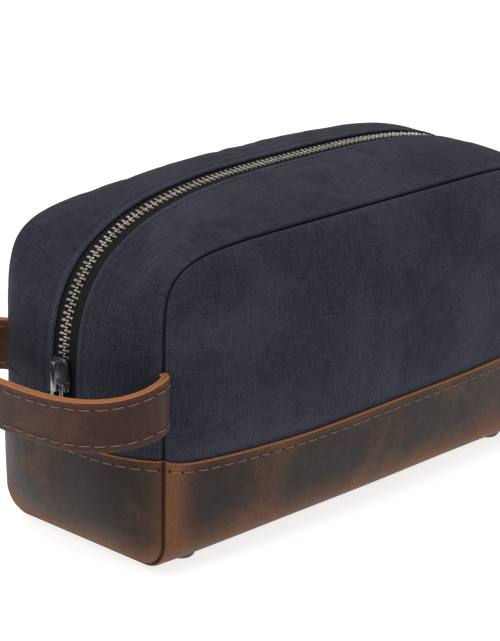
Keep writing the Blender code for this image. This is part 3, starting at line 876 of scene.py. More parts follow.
def thread_finish(name, tone):
    finish = Finish(name, tone, 0.7, Sheen_Weight=0.1)
    strands = finish.noise(2600, 2, 0.6)
    base = finish.mix(strands, finish.scaled(finish.mix(0.0, tone, (0, 0, 0)), 0.55), tone)
    return finish.feed(Base_Color=base, Normal=finish.bump(strands, 0.08 * MM, 0.6))


def hole_finish():
    """Near black at the needle hole as painted shade, bare orange leather round it, oiled leather at the rim.
    """
    finish = Finish("stitch_hole", (0.006, 0.003, 0.002), 0.9, Specular_IOR_Level=0.2)
    rim = finish.attribute("rim") + (finish.noise(900, 2) - 0.5) * 0.5
    # Below the halo the colour is near black: painted shade standing in for the depth of the needle hole.
    halo = finish.mix(rim.spread(0.40, 0.62), (0.005, 0.002, 0.0015), (0.13, 0.040, 0.014))
    return finish.feed(Base_Color=finish.mix(rim.spread(0.72, 0.95), halo, (0.030, 0.016, 0.011)))


def tape_finish():
    """Black tape with a fine herringbone."""
    finish = Finish("zip_tape", (0.008, 0.008, 0.0085), 0.85, Specular_IOR_Level=0.12)
    along, across, _ = finish.split(finish.attribute("cloth", vector=True))
    slant = abs((across * (math.pi / (3.2 * MM))).sine()) * (1.3 * MM)
    rib = ((along + slant) * (math.pi / (0.42 * MM))).sine()
    cords = (across * (math.pi / (0.36 * MM))).sine()
    height = abs(rib) * 0.7 + abs(cords) * 0.3
    base = finish.mix(height.spread(0.2, 1.0), (0.0035, 0.0035, 0.004), (0.016, 0.016, 0.017))
    return finish.feed(Base_Color=base, Normal=finish.bump(height, 0.12 * MM, 0.8))


def metal_finish(name, tone, roughness, grime=0.5, scratch=0.15):
    """Metal with handling marks, a little darker in hazy patches."""
    finish = Finish(name, tone, roughness, 1.0)
    marks = finish.noise(700, 4, 0.65)
    hazy = finish.noise(180, 3, 0.6)
    base = finish.mix(hazy.spread(0.45, 0.75) * grime, tone, tuple(0.35 * c for c in tone))
    rough = roughness + (marks - 0.5) * scratch + hazy.spread(0.4, 0.8) * 0.08
    return finish.feed(Base_Color=base, Roughness=rough)


def lining_finish(cloth):
    finish = Finish("lining", shade(cloth.lining), 0.85, Sheen_Weight=0.15)
    along, across, _ = finish.split(finish.attribute("cloth", vector=True))
    turn = math.pi / (0.32 * MM)
    warp, weft = (along * turn).sine(), (across * turn).sine()
    over = (warp * weft).spread(-0.3, 0.3)
    height = abs(warp) * over + abs(weft) * (1 - over)
    dark = tuple(0.55 * c for c in cloth.lining)
    tone = finish.mix((height * 0.6 + finish.noise(120, 3) * 0.6).least(1.0), dark, shade(cloth.lining))
    crease = finish.bump(finish.noise(70, 3), 0.6 * MM, 0.5)
    return finish.feed(Base_Color=tone, Normal=finish.bump(height, 0.06 * MM, 0.6, after=crease))


def board_finish():
    finish = Finish("board", (0.35, 0.28, 0.18), 0.8)
    fibres = finish.noise(400, 5, 0.7, finish.stretched(finish.place, (0.3, 1, 1)))
    return finish.feed(Base_Color=finish.mix(fibres, (0.22, 0.17, 0.11), (0.42, 0.34, 0.23)))


def floor_finish():
    """White and faintly lit from below, as a light table is."""
    glow = {"Emission_Color": (1, 1, 1, 1), "Emission_Strength": 0.78}
    finish = Finish("floor", (0.45, 0.45, 0.45), 0.9, Specular_IOR_Level=0.1, **glow)
    return finish.feed(Base_Color=finish.mix(finish.noise(3, 2), (0.44, 0.44, 0.44), (0.46, 0.46, 0.46)))


# The two halves, and pieces baked in place

HALVES = (("front", -1, "front_half"), ("back", 1, "back_half"))


def bend_open(piece):
    """Bakes the upper cloth's place into its mesh, where it stays put."""
    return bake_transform(piece)


def bend_low(piece):
    """Bakes the low end cloth's place into its mesh, where it stays put."""
    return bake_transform(piece)


# Pieces


def sizes():
    return bpy.context.scene.bag_shape


def looks(maker, *arguments):
    """A material, made the first time it is asked for."""
    key = maker.__name__ + "".join(str(a) for a in arguments if isinstance(a, str))
    found = bpy.data.materials.get(LOOKS.get(key, ""))
    if found:
        return found
    made = maker(*arguments)
    LOOKS[key] = made.name
    return made


LOOKS = {}
FLAP = 3.0 * MM  # seam allowance modelled beyond a rolled edge


def doubled_ends(values, low=True, high=True):
    """Repeats the end values, for the seam allowance, and says which are repeats."""
    start = [values[:1]] if low else []
    end = [values[-1:]] if high else []
    grown = np.concatenate([*start, values, *end])
    flap = np.zeros(len(grown))
    if low:
        flap[0] = 1
    if high:
        flap[-1] = 1
    return grown, flap


def beside(distance, reach):
    """1 on a line, fading out within a few times reach of it."""
    return np.exp(-distance / reach)


def clear_of(distance, reach, bare=0.0):
    """0 up to bare from a line, and rising to 1 over reach beyond that."""
    return np.clip((distance - bare) / reach, 0, 1)


def canvas_piece(name, outer, inner, cloth, rub, distance):
    """Canvas with its threads laid by cloth, its pale rubs and the dark line of its seam, partly dirt and
    partly painted shade.
    """
    values = {"cloth": cloth, "rub": rub, "seam": beside(distance, SEAM_SHADE)}
    return skin(name, outer, inner, looks(canvas_finish, bpy.context.scene.bag_cloth), values)


def leather_piece(name, outer, inner, wear, distance, cut):
    """Base leather with its wear, partly painted light beside the base's corner seams, the dark line of its
    seam, partly dirt and partly painted shade, and its raw cut edge.
    """
    leather = bpy.context.scene.bag_leather
    values = {
        "seam": beside(distance, LEATHER_SEAM_SHADE),
        "wear": np.clip(wear, 0, 1),
        "edge": np.clip(1.3 - cut / CUT_SHOWS, 0, 1),
    }
    return skin(
        name,
        outer,
        inner,
        looks(leather_finish, leather, "base_leather", shade(leather.dark)),
        values,
    )


def make_panel(form, name, side, body):
    shape = sizes()
    step = shape.cloth_step
    seam = canvas_seam(form, side)
    off = GAP / 2
    across, flap_across = doubled_ends(between(-HALF_LENGTH + off, HALF_LENGTH - off, step) / HALF_LENGTH)
    low = steps(HEM_BOTTOM, SHOULDER, step)[:-1]
    top = closer(PANEL_TOP, -1, 6 * MM, step, off)[::-1]
    high = np.concatenate([steps(SHOULDER, PANEL_TOP - 6 * MM, step)[:-1], top])
    heights, flap_high = doubled_ends(np.concatenate([low, high]), low=False)
    u, v = np.meshgrid(across, heights, indexing="ij")
    flap = np.maximum(flap_across[:, None], flap_high[None, :]) * FLAP
    surface = lambda a, z: form.panel(side, a, z)
    points = surface(u, v)
    normal = normals_of(surface, u, v, np.array([0, side, 0]))
    draw, distance = seam.rolled(points, shape.canvas_seam, flap)
    inside = np.clip(distance / (12 * MM), 0, 1)
    above = np.clip((v - BASE_HEIGHT) / (10 * MM), 0, 1)
    rows = steps(-1, 1, 0.035)
    columns = steps(HEM_BOTTOM, PANEL_TOP, 4 * MM)
    held = lambda r, c: ((np.abs(r) > 0.999) | (c > PANEL_TOP - 0.1 * MM) | (c < BASE_HEIGHT + 1 * MM)) * 1.0
    swell = np.sum(settled(surface, rows, columns, held, PANEL_PRESSURE)(u, v) * normal, -1)
    puff = rippled(points, 60 * MM, 1 + side) * 1.1 * MM + rippled(points, 24 * MM, 3 + side) * 0.35 * MM
    pucker = rippled(points, 9 * MM, 5) * 0.22 * MM * beside(distance, 7 * MM) * clear_of(distance, 2 * MM)
    lift = bounded((puff + swell) * inside * above) + pucker
    outer = points + normal * lift[..., None] + draw
    inner = outer - normal * CANVAS
    rub = beside(np.abs(v - BASE_HEIGHT - 1.5 * MM), 3.5 * MM) * 0.8 + beside(distance, 2.2 * MM) * 0.45
    cloth = np.stack([points[..., 0], points[..., 2], np.zeros(u.shape)], -1)
    piece = canvas_piece(name, outer, inner, cloth, rub, distance)
    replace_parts(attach(piece, body), name)


def fold_profile(y, window):
    """Outer height and inner depth of the folded canvas edge beside the zip."""
    s = y - window
    fold = 1 / (1 + np.exp((s - 6.8 * MM) / (0.35 * MM)))
    outer = 0.35 * MM * fold
    inner = -CANVAS * (1 - fold) - 1.25 * MM * fold
    radius = 0.8 * MM
    round_off = np.sqrt(np.clip(1 - (1 - np.clip(s / radius, 0, 1)) ** 2, 0, 1))
    middle = (outer + inner) / 2
    outer = middle + (outer - middle) * round_off
    inner = middle + (inner - middle) * round_off
    groove = -0.42 * MM * np.exp(-(((s - 3.3 * MM) / (0.55 * MM)) ** 2))
    return outer + groove, inner


def make_gusset(form, name, side, window):
    shape = sizes()
    step = shape.cloth_step
    off = GAP / 2
    span = form.zip_line.length
    first = [0, 0.5 * MM, 1.2 * MM]
    last = [span - 1.2 * MM, span - 0.5 * MM, span]
    share = np.concatenate([first, steps(2 * MM, span - 2 * MM, step), last])
    share = share / span
    edge = closer(window, 1, 9 * MM, 0.55 * MM)
    seam_side = closer(HALF_DEPTH, -1, 6 * MM, step, off)[::-1]
    across = np.concatenate([edge, steps(edge[-1], seam_side[0], step)[1:-1], seam_side])
    across, flap = doubled_ends(across, low=False)
    u, v = np.meshgrid(share, side * across, indexing="ij")
    points = form.gusset(u, v)
    normal = normals_of(form.gusset, u, v, points - np.array([CENTRE_X, 0, SHOULDER]))
    flaps = np.broadcast_to(flap * FLAP, u.shape)
    draw, distance = canvas_seam(form, side).rolled(points, shape.canvas_seam, flaps)
    high, low = fold_profile(np.abs(v), window)
    quiet = np.clip((np.abs(v) - window - 4 * MM) / (8 * MM), 0, 1) * np.clip(distance / (8 * MM), 0, 1)
    puff = rippled(points, 46 * MM, 2 + side) * 0.9 * MM + rippled(points, 20 * MM, 4 + side) * 0.3 * MM
    along_zip = u * span
    pucker = rippled(points, 8 * MM, 6) * 0.25 * MM * beside(distance, 6 * MM) * clear_of(distance, 2 * MM)
    from_stitching = np.abs(np.abs(v) - window - 3.3 * MM)
    gather = 0.12 * MM * rippled(points, 5 * MM, 9) * beside(from_stitching, 2.5 * MM)
    rows = steps(0, 1, 0.016)
    columns = np.sort(side * steps(window + 3 * MM, HALF_DEPTH, 4 * MM))
    edges = (columns[0], columns[-1])
    held = lambda r, c: ((c == edges[0]) | (c == edges[1]) | (r == 0) | (r == 1)) * 1.0
    swell = np.sum(settled(form.gusset, rows, columns, held, GUSSET_PRESSURE)(u, v) * normal, -1)
    lift = bounded((puff + swell) * quiet) + pucker + gather
    outer = points + normal * (high + lift)[..., None] + draw
    inner = points + normal * (low + lift)[..., None] + draw
    from_fold = np.abs(np.abs(v) - window - 0.8 * MM)
    rub = beside(distance, 2.2 * MM) * 0.4 + beside(from_fold, 0.9 * MM) * 0.55
    cloth = np.stack([along_zip, v, np.zeros(u.shape)], -1)
    piece = canvas_piece(name, outer, inner, cloth, rub, distance)
    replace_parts(bend_open(piece), name)


def make_low_end(form, end_name, end, side):
    shape = sizes()
    step = shape.cloth_step
    off = GAP / 2
    node = f"{end_name}_end_canvas"
    top = closer(SHOULDER, -1, 3 * MM, step)[::-1]
    heights = np.concatenate([steps(HEM_BOTTOM, SHOULDER - 3 * MM, step), top])
    seam_side = closer(HALF_DEPTH, -1, 6 * MM, step, off)[::-1]
    across = np.concatenate([steps(0, seam_side[0], step)[:-1], seam_side])
    across, flap = doubled_ends(across, low=False)
    u, v = np.meshgrid(heights, side * across / HALF_DEPTH, indexing="ij")
    surface = lambda z, a: form.end(end, z, a)
    points = surface(u, v)
    normal = normals_of(surface, u, v, np.array([end, 0, 0]))
    flaps = np.broadcast_to(flap * FLAP, u.shape)
    draw, distance = canvas_seam(form, side).rolled(points, shape.canvas_seam, flaps)
    quiet = np.clip((SHOULDER - u) / (6 * MM), 0, 1) * np.clip((u - BASE_HEIGHT) / (6 * MM), 0, 1)
    quiet = quiet * np.clip(np.abs(v) * HALF_DEPTH / (6 * MM), 0, 1)
    lift = rippled(points, 30 * MM, 11) * 0.5 * MM * quiet
    outer = points + normal * lift[..., None] + draw
    inner = outer - normal * CANVAS
    rub = np.exp(-np.abs(u - BASE_HEIGHT - 1.5 * MM) / (3 * MM)) * 0.9 + np.exp(-distance / (2.2 * MM)) * 0.4
    cloth = np.stack([u - SHOULDER, v * HALF_DEPTH, np.zeros(u.shape)], -1)
    half = "front" if side < 0 else "back"
    piece = canvas_piece(f"{node}_{half}", outer, inner, cloth, rub, distance)
    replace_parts(bend_low(piece), node)


class KIT_OT_canvas(bpy.types.Operator):
    """Makes the canvas panels, the two halves of the gusset and the low ends"""

    bl_idname = "kit.canvas"
    bl_label = "Canvas"

    def execute(self, context):
        shape = sizes()
        form = Form(shape)
        windows = {"front": shape.front_window, "back": shape.back_window}
        for name, side, body in HALVES:
            make_panel(form, f"{name}_panel", side, body)
            make_gusset(form, f"{name}_gusset", side, windows[name])
            for end_name, end in (("left", -1), ("right", 1)):
                make_low_end(form, end_name, end, side)
        return {"FINISHED"}


def cut_edge(distance, outer_radius=0.65 * MM, inner_radius=0.3 * MM):
    """How far the outer and inner faces draw back beside a cut edge."""
    drops = []
    for radius in (outer_radius, inner_radius):
        share = np.clip(1 - distance / radius, 0, 1)
        drops.append(radius * (1 - np.sqrt(1 - share**2)))
    return drops


def wrap_turns(step):
    """Places round the base from the front top edge to the back one."""
    top = 1 - closer(0, 1, 7 * MM, step) / WALL * 0.5
    wall = np.linspace(top[-1], 0.5, max(4, int(WALL / step)))[1:]
    fold = np.linspace(0.5, 0.25, 14)[1:]
    under = np.linspace(0.25, 0, 16)[1:]
    half = np.concatenate([top, wall, fold, under])
    return np.concatenate([-half, half[::-1][1:]])


def make_wrap(form):
    shape = sizes()
    reach = HALF_LENGTH + MITRE - GAP / 2
    across, flap = doubled_ends(between(-reach, reach, shape.cloth_step) / HALF_LENGTH)
    turns = wrap_turns(shape.cloth_step)
    u, v = np.meshgrid(across, turns, indexing="ij")
    cut = np.where(np.abs(v) > 0.5, (1 - np.abs(v)) / 0.5 * WALL, WALL)
    v = raised(v, edge_rise(u))
    points = form.wrap(u, v)
    away = points - np.array([CENTRE_X, 0, SHOULDER])
    away[..., 0] = 0
    normal = normals_of(form.wrap, u, v, away)
    outer = points + normal * LEATHER_OUT
    total = 0
    nearest = 1.0
    for end in (-1, 1):
        flaps = flap[:, None] * (u * end > 0) * FLAP
        draw, distance = leather_seam(form, end).rolled(outer, shape.leather_seam, flaps)
        total = total + draw
        nearest = np.minimum(nearest, distance)
    drop_out, drop_in = cut_edge(cut)
    quiet = clear_of(nearest, 10 * MM) * clear_of(cut, 12 * MM, 5 * MM)
    wave = rippled(points, 70 * MM, 21) * 0.6 * MM * quiet
    wave = wave * (points[..., 2] > UNDERSIDE + 1e-6)
    inner = outer + normal * (wave - LEATHER + drop_in)[..., None] + total
    outer = outer + normal * (wave - drop_out)[..., None] + total
    low = np.clip((24 * MM - points[..., 2]) / (15 * MM), 0, 1)
    # Beside each corner seam the leather turns warmer and lighter: partly rubbing, partly painted light
    # standing in for the shading of the curving corner.
    from_corner_light = (nearest - 2 * MM) / (9 * MM)
    wear = low**1.2 * 0.85 + np.exp(-(from_corner_light**2)) * 1.1 + beside(cut, 2.2 * MM) * 0.35
    piece = leather_piece("base_wrap_leather", outer, inner, wear, nearest, cut)
    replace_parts(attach(piece, "root"), "base_wrap")


def make_base_end(form, end_name, end):
    shape = sizes()
    step = shape.cloth_step
    inset = GAP / 2 - MITRE
    floor = UNDERSIDE + inset
    edge = BASE_HEIGHT + END_RISE
    top = closer(edge, -1, 7 * MM, step)[::-1]
    bend = closer(floor, 1, BASE_FOLD * 0.5, step, 0.05 * MM)
    heights = np.concatenate([bend, steps(bend[-1], top[0], step)[1:-1], top])
    heights, flap_low = doubled_ends(heights, high=False)
    across, flap_side = doubled_ends(between(-HALF_DEPTH, HALF_DEPTH, step) / HALF_DEPTH)
    u, v = np.meshgrid(heights, across, indexing="ij")
    surface = lambda z, a: form.end(end, z, a, inset)
    points = surface(u, v)
    normal = normals_of(surface, u, v, np.array([end, 0, 0]))
    outer = points + normal * LEATHER_OUT
    flap = np.maximum(flap_low[:, None], flap_side[None, :]) * FLAP
    draw, distance = leather_seam(form, end).rolled(outer, shape.leather_seam, flap)
    cut = edge - u
    drop_out, drop_in = cut_edge(cut)
    quiet = clear_of(distance, 10 * MM) * clear_of(cut, 12 * MM, 5 * MM)
    wave = rippled(points, 50 * MM, 23) * 0.5 * MM * quiet
    inner = outer + normal * (wave - LEATHER + drop_in)[..., None] + draw
    outer = outer + normal * (wave - drop_out)[..., None] + draw
    low = np.clip((21 * MM - points[..., 2]) / (16 * MM), 0, 1)
    # The warmer band beside the corner seam is partly rubbing, partly painted light standing in for the
    # shading of the curving corner.
    wear = low**1.5 * 0.7 + np.exp(-distance / (4 * MM)) * 0.6 + np.exp(-cut / (2.2 * MM)) * 0.3
    piece = leather_piece(f"{end_name}_end_leather", outer, inner, wear, distance, cut)
    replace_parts(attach(piece, "root"), f"{end_name}_base_end")


class KIT_OT_base(bpy.types.Operator):
    """Makes the folded leather base and its two ends"""

    bl_idname = "kit.base"
    bl_label = "Leather base"

    def execute(self, context):
        form = Form(sizes())
        make_wrap(form)
        for end_name, end in (("left", -1), ("right", 1)):
            make_base_end(form, end_name, end)
        return {"FINISHED"}


def make_tape(form, name, side):
    span = form.zip_line.length
    share = steps(0.4 * MM, span - 0.4 * MM, 1.6 * MM) / span
    across = np.concatenate([closer(1.1 * MM, 1, 3.4 * MM, 0.3 * MM), steps(4.6 * MM, 15 * MM, 1.3 * MM)])
    u, v = np.meshgrid(share, side * across, indexing="ij")
    points = form.gusset(u, v)
    normal = normals_of(form.gusset, u, v, points - np.array([CENTRE_X, 0, SHOULDER]))
    bead = 0.42 * MM * np.exp(-(((np.abs(v) - 2.0 * MM) / (0.7 * MM)) ** 2))
    edge = np.clip((np.abs(v) - 1.1 * MM) / (0.3 * MM), 0.1, 1)
    middle = -TAPE_DEPTH - 0.3 * MM
    half = (0.3 * MM + bead) * edge
    cloth = np.stack([u * span, v, np.zeros(u.shape)], -1)
    piece = skin(
        f"tape_{name}",
        points + normal * (middle + half)[..., None],
        points + normal * (middle - half)[..., None],
        looks(tape_finish),
        {"cloth": cloth},
    )
    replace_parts(bend_open(piece), f"zip_tape_{name}")


class KIT_OT_zip(bpy.types.Operator):
    """Makes the zip's tapes, its two rows of teeth, its stop and its folded ends"""

    bl_idname = "kit.zip"
    bl_label = "Zip"

    def execute(self, context):
        scene = context.scene
        form = Form(sizes())
        zip_sizes = scene.bag_zip
        span = form.zip_line.length
        start, end = 7.2 * MM, span - 3.0 * MM
        share = steps(start, end, 0.8 * MM) / span
        x, z = form.zip_line.at(share)
        nx, nz = form.zip_line.normal(share)
        facing = np.stack([nx, np.zeros(len(nx)), nz], -1)
        points = np.stack([x + CENTRE_X, np.zeros(len(x)), z], -1) - facing * TAPE_DEPTH
        metal = looks(metal_finish, "zip_metal", shade(zip_sizes.metal), 0.34, 0.75)
        for name, side, body in HALVES:
            make_tape(form, name, side)
            tooth = tooth_part(zip_sizes)
            if side > 0:
                tooth.data.transform(Matrix.Diagonal((1, -1, 1, 1)))
                tooth.data.flip_normals()
            path = line((points, facing))
            begin = 0.0 if side < 0 else zip_sizes.pitch / 2
            uneven = math.radians(2.5)
            seed = scene.bag_stage.seed
            row = row_of(f"teeth_{name}", tooth, path, zip_sizes.pitch, metal, begin, uneven, seed)
            discard(tooth, path)
            row.data.shade_smooth()
            row.data.set_sharp_from_angle(angle=math.radians(35))
            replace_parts(bend_open(row), f"zip_teeth_{name}")
        tape = looks(tape_finish)
        for end_name, end_side in (("left", -1), ("right", 1)):
            self.make_tab(form, end_name, end_side, tape)
        frame["nodes"]["zip_stop"].data.materials.clear()
        frame["nodes"]["zip_stop"].data.materials.append(metal)
        return {"FINISHED"}

    def make_tab(self, form, end_name, end, tape):
        """The tape's folded end, sewn flat under the zip."""
        box_low, box_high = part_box(f"zip_end_{end_name}")
        heights = between(box_low.z, box_high.z, 0.8 * MM, reach=1.5 * MM)
        across = between(box_low.y, box_high.y, 0.9 * MM, reach=1.5 * MM) / HALF_DEPTH
        u, v = np.meshgrid(heights, across, indexing="ij")
        surface = lambda z, a: form.end(end, z, a)
        points = surface(u, v)
        normal = normals_of(surface, u, v, np.array([end, 0, 0]))
        from_side = (box_high.y / HALF_DEPTH - np.abs(v)) * HALF_DEPTH
        side_gap = np.minimum(np.minimum(u - box_low.z, box_high.z - u), from_side)
        round_off = np.sqrt(1 - (1 - np.clip(side_gap / (0.5 * MM), 0, 1)) ** 2)
        thick = 0.35 * MM + 0.75 * MM * round_off
        cloth = np.stack([u, v * HALF_DEPTH, np.zeros(u.shape)], -1)
        outer = points + normal * thick[..., None]
        inner = points + normal * (0.25 * MM)
        piece = skin(f"tape_end_{end_name}", outer, inner, tape, {"cloth": cloth})
        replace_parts(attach(piece, "root"), f"zip_end_{end_name}")


class KIT_OT_slider(bpy.types.Operator):
    """Finishes the slider, its bridge and its pull"""

    bl_idname = "kit.slider"
    bl_label = "Slider"

    def execute(self, context):
        metal = looks(metal_finish, "slider_metal", shade(context.scene.bag_zip.slider), 0.26, 0.1)
        for node, body, radius in (
            ("slider_body", "slider", 0.22 * MM),
            ("slider_bridge", "slider", 0.20 * MM),
            ("slider_pull", "pull", 0.24 * MM),
        ):
            piece = self.rounded(node, radius, metal)
            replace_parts(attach(piece, body), node)
        return {"FINISHED"}

    def rounded(self, node, radius, metal):
        """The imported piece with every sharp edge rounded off, as a casting that was polished has."""
        mesh = bmesh.new()
        mesh.from_mesh(frame["nodes"][node].data)
        bmesh.ops.remove_doubles(mesh, verts=mesh.verts, dist=0.01 * MM)
        bmesh.ops.dissolve_limit(mesh, angle_limit=math.radians(1), verts=mesh.verts, edges=mesh.edges)
        data = bpy.data.meshes.new(node)
        mesh.to_mesh(data)
        mesh.free()
        piece = finished(f"{node}_metal", data, metal)
        bevel = piece.modifiers.new("round", "BEVEL")
        bevel.width = radius
        bevel.segments = 3
        bevel.limit_method = "ANGLE"
        bevel.angle_limit = math.radians(35)
        bevel.use_clamp_overlap = True
        bevel.harden_normals = True
        data.shade_smooth()
        ready = piece.evaluated_get(bpy.context.evaluated_depsgraph_get())
        piece.data = bpy.data.meshes.new_from_object(ready)
        piece.modifiers.remove(bevel)
        return piece


# Strap

STRAP_WIDTH = 20.7 * MM
STRAP_LIFT = 1.3 * MM  # of the strap's middle above its hinge
STRAP_THICK = 3.5 * MM  # both layers and the glue line between them
STRAP_REACH = 33.5 * MM
STRAP_SPREAD = 51.5 * MM
STRAP_POWER = 2.65
STRAP_DROOP = math.radians(9.7)


def strap_path(spacing):
    """The strap's middle surface seen from above, as evenly spaced points from front to back."""
    hinge = joint_point("strap_swing")
    turn = np.linspace(0, math.pi / 2, 500)
    x = -STRAP_REACH * np.sin(turn) ** (2 / STRAP_POWER)
    y = -STRAP_SPREAD * np.cos(turn) ** (2 / STRAP_POWER)
    outer = np.stack([x, y], -1)
    tangent = unit(np.gradient(outer, axis=0))
    normal = np.stack([tangent[:, 1], -tangent[:, 0]], -1)
    normal = np.where(normal[:, 1:] > 0, -normal, normal)
    middle = outer - normal * STRAP_THICK / 2
    middle = middle[middle[:, 0] < -2.5 * MM]
    seam = np.array([CENTRE_X - HALF_LENGTH - hinge.x, -HALF_DEPTH])
    root = np.array([seam + [1.4 * MM, 2.6 * MM], seam + [0.2 * MM, 0.3 * MM], seam + [-1.3 * MM, -2.6 * MM]])
    front = np.concatenate([root, middle])
    smooth = resampled(front, spacing, soften=3)
    back = smooth[::-1] * [1, -1]
    return np.concatenate([smooth, back[1:]])


def resampled(points, spacing, soften=0):
    """Evenly spaced points on a line, its corners softened by averaging neighbours."""
    for repeat in range(2):
        gaps = np.hypot(*np.diff(points, axis=0).T)
        reach = np.concatenate([[0], np.cumsum(gaps)])
        even = np.linspace(0, reach[-1], int(reach[-1] / spacing) + 1)
        points = np.stack([np.interp(even, reach, points[:, i]) for i in (0, 1)], -1)
        if repeat == 0:
            for _ in range(soften):
                points[1:-1] = (points[:-2] + 2 * points[1:-1] + points[2:]) / 4
    return points


def strap_place(flat, out, height):
    """A point on the strap: flat is its middle line, out is along its normal, height is above its middle."""
    hinge = joint_point("strap_swing")
    tangent = unit(np.gradient(flat, axis=0))
    normal = np.stack([tangent[:, 1], -tangent[:, 0]], -1)
    sign = np.where(normal[:, 0] * flat[:, 0] + normal[:, 1] * flat[:, 1] < 0, -1, 1)
    normal = normal * sign[:, None]
    lean = STRAP_DROOP * np.clip(-flat[:, 0] / (6 * MM), 0, 1)
    place = flat[:, None, :] + normal[:, None, :] * out[None, :, None]
    x, y = place[..., 0], place[..., 1]
    cosine, sine = np.cos(lean)[:, None], np.sin(lean)[:, None]
    high = np.broadcast_to(height[None, :] + STRAP_LIFT, x.shape)
    return np.stack([hinge.x + x * cosine - high * sine, y, hinge.z + x * sine + high * cosine], -1)


class KIT_OT_strap(bpy.types.Operator):
    """Makes the carry strap's two leather layers and its stitching"""

    bl_idname = "kit.strap"
    bl_label = "Strap"

    def execute(self, context):
        leather = context.scene.bag_leather
        flat = strap_path(0.9 * MM)
        finish = looks(leather_finish, leather, "strap_leather", shade(leather.strap), True)
        layer = STRAP_THICK / 2 - 0.06 * MM
        heights = between(-STRAP_WIDTH / 2, STRAP_WIDTH / 2, 1.2 * MM, reach=3 * MM)
        gap = STRAP_WIDTH / 2 - np.abs(heights)
        for name, face in (("outer", 1), ("inner", -1)):
            drop_face, drop_glue = cut_edge(gap, 0.45 * MM, 0.12 * MM)
            near = strap_place(flat, face * (layer - drop_face), heights)
            far = strap_place(flat, face * (0.06 * MM + drop_glue), heights)
            ends = np.minimum(np.arange(len(flat)), np.arange(len(flat))[::-1])[:, None]
            wear = np.exp(-ends * 0.12) * 0.4 + np.exp(-gap[None, :] / (1.2 * MM)) * 0.3
            bare = np.where(heights > 0, 0.32 * MM, 0.15 * MM)
            edge = np.broadcast_to(np.clip(1.3 - gap / bare, 0, 1)[None, :], near.shape[:2])
            piece = skin(f"strap_{name}_leather", near, far, finish, {"wear": wear, "edge": edge}, 60)
            self.ride(piece)
            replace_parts(piece, f"strap_{name}")
        self.stitch(context, flat)
        return {"FINISHED"}

    def ride(self, piece):
        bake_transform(piece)

    def stitch(self, context, flat):
        leather = context.scene.bag_leather
        inset = 2.9 * MM
        keep = flat[6:-6]
        rows = []
        for height in (STRAP_WIDTH / 2 - inset, -STRAP_WIDTH / 2 + inset):
            for face in (1, -1):
                depths = np.array([face * STRAP_THICK / 2, face * (STRAP_THICK / 2 + 1 * MM)])
                surface = strap_place(keep, depths, np.array([height, height]))
                rows.append((surface[:, 0], surface[:, 1] - surface[:, 0]))
        for piece in stitched("strap", rows, leather, context.scene.bag_stage.seed):
            self.ride(piece)


def stitched(name, rows, leather, seed):
    """Thread and holes along rows of (points, facing); returns one object for each."""
    thread = looks(thread_finish, "leather_thread", shade(leather.thread))
    hole = looks(hole_finish)
    made = []
    kinds = (
        ("thread", stitch_part(leather.stitch * 0.86, 0.55 * MM, 0.42 * MM), thread, 0.5),
        ("holes", hole_part(1.9 * MM, 1.5 * MM), hole, 0.0),
    )
    for kind, part, finish, offset in kinds:
        path = line(*rows)
        start = offset * leather.stitch
        uneven = math.radians(4)
        made.append(row_of(f"{name}_{kind}", part, path, leather.stitch, finish, start, uneven, seed))
        discard(part, path)
    return made


class KIT_OT_stitches(bpy.types.Operator):
    """Sews the leather base and the canvas beside the zip"""

    bl_idname = "kit.stitches"
    bl_label = "Stitching"

    def execute(self, context):
        scene = context.scene
        form = Form(sizes())
        leather, cloth = scene.bag_leather, scene.bag_cloth
        inset = 3.3 * MM
        rows = []
        across = steps(-HALF_LENGTH + 1.5 * MM, HALF_LENGTH - 1.5 * MM, 2 * MM) / HALF_LENGTH
        for side in (-1, 1):
            turn = raised(np.full(len(across), float(side)), edge_rise(across) - inset)
            normal = normals_of(form.wrap, across, turn, np.array([0, side, 0]))
            rows.append((form.wrap(across, turn) + normal * LEATHER_OUT, normal))
        across = steps(-HALF_DEPTH + 1 * MM, HALF_DEPTH - 1 * MM, 2 * MM) / HALF_DEPTH
        height = np.full(len(across), BASE_HEIGHT + END_RISE - inset)
        for end in (-1, 1):
            surface = lambda z, a: form.end(end, z, a)
            normal = normals_of(surface, height, across, np.array([end, 0, 0]))
            rows.append((surface(height, across) + normal * LEATHER_OUT, normal))
        for piece in stitched("base", rows, leather, scene.bag_stage.seed):
            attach(piece, "root")
        self.sew_canvas(form, cloth, scene.bag_stage.seed)
        return {"FINISHED"}

    def sew_canvas(self, form, cloth, seed):
        shape = sizes()
        part = stitch_part(cloth.stitch * 0.8, 0.5 * MM, 0.34 * MM)
        thread = looks(thread_finish, "canvas_thread", (0.006, 0.006, 0.009))
        span = form.zip_line.length
        share = steps(2 * MM, span - 2 * MM, 1.5 * MM) / span
        for name, side, body in HALVES:
            window = shape.front_window if side < 0 else shape.back_window
            y = np.full(len(share), side * (window + 3.3 * MM))
            points = form.gusset(share, y)
            normal = normals_of(form.gusset, share, y, points - np.array([CENTRE_X, 0, SHOULDER]))
            path = line((points + normal * (0.02 * MM), normal))
            piece = row_of(
                f"zip_stitching_{name}", part, path, cloth.stitch, thread, 0.0, math.radians(4), seed
            )
            discard(path)
            bend_open(piece)
        discard(part)


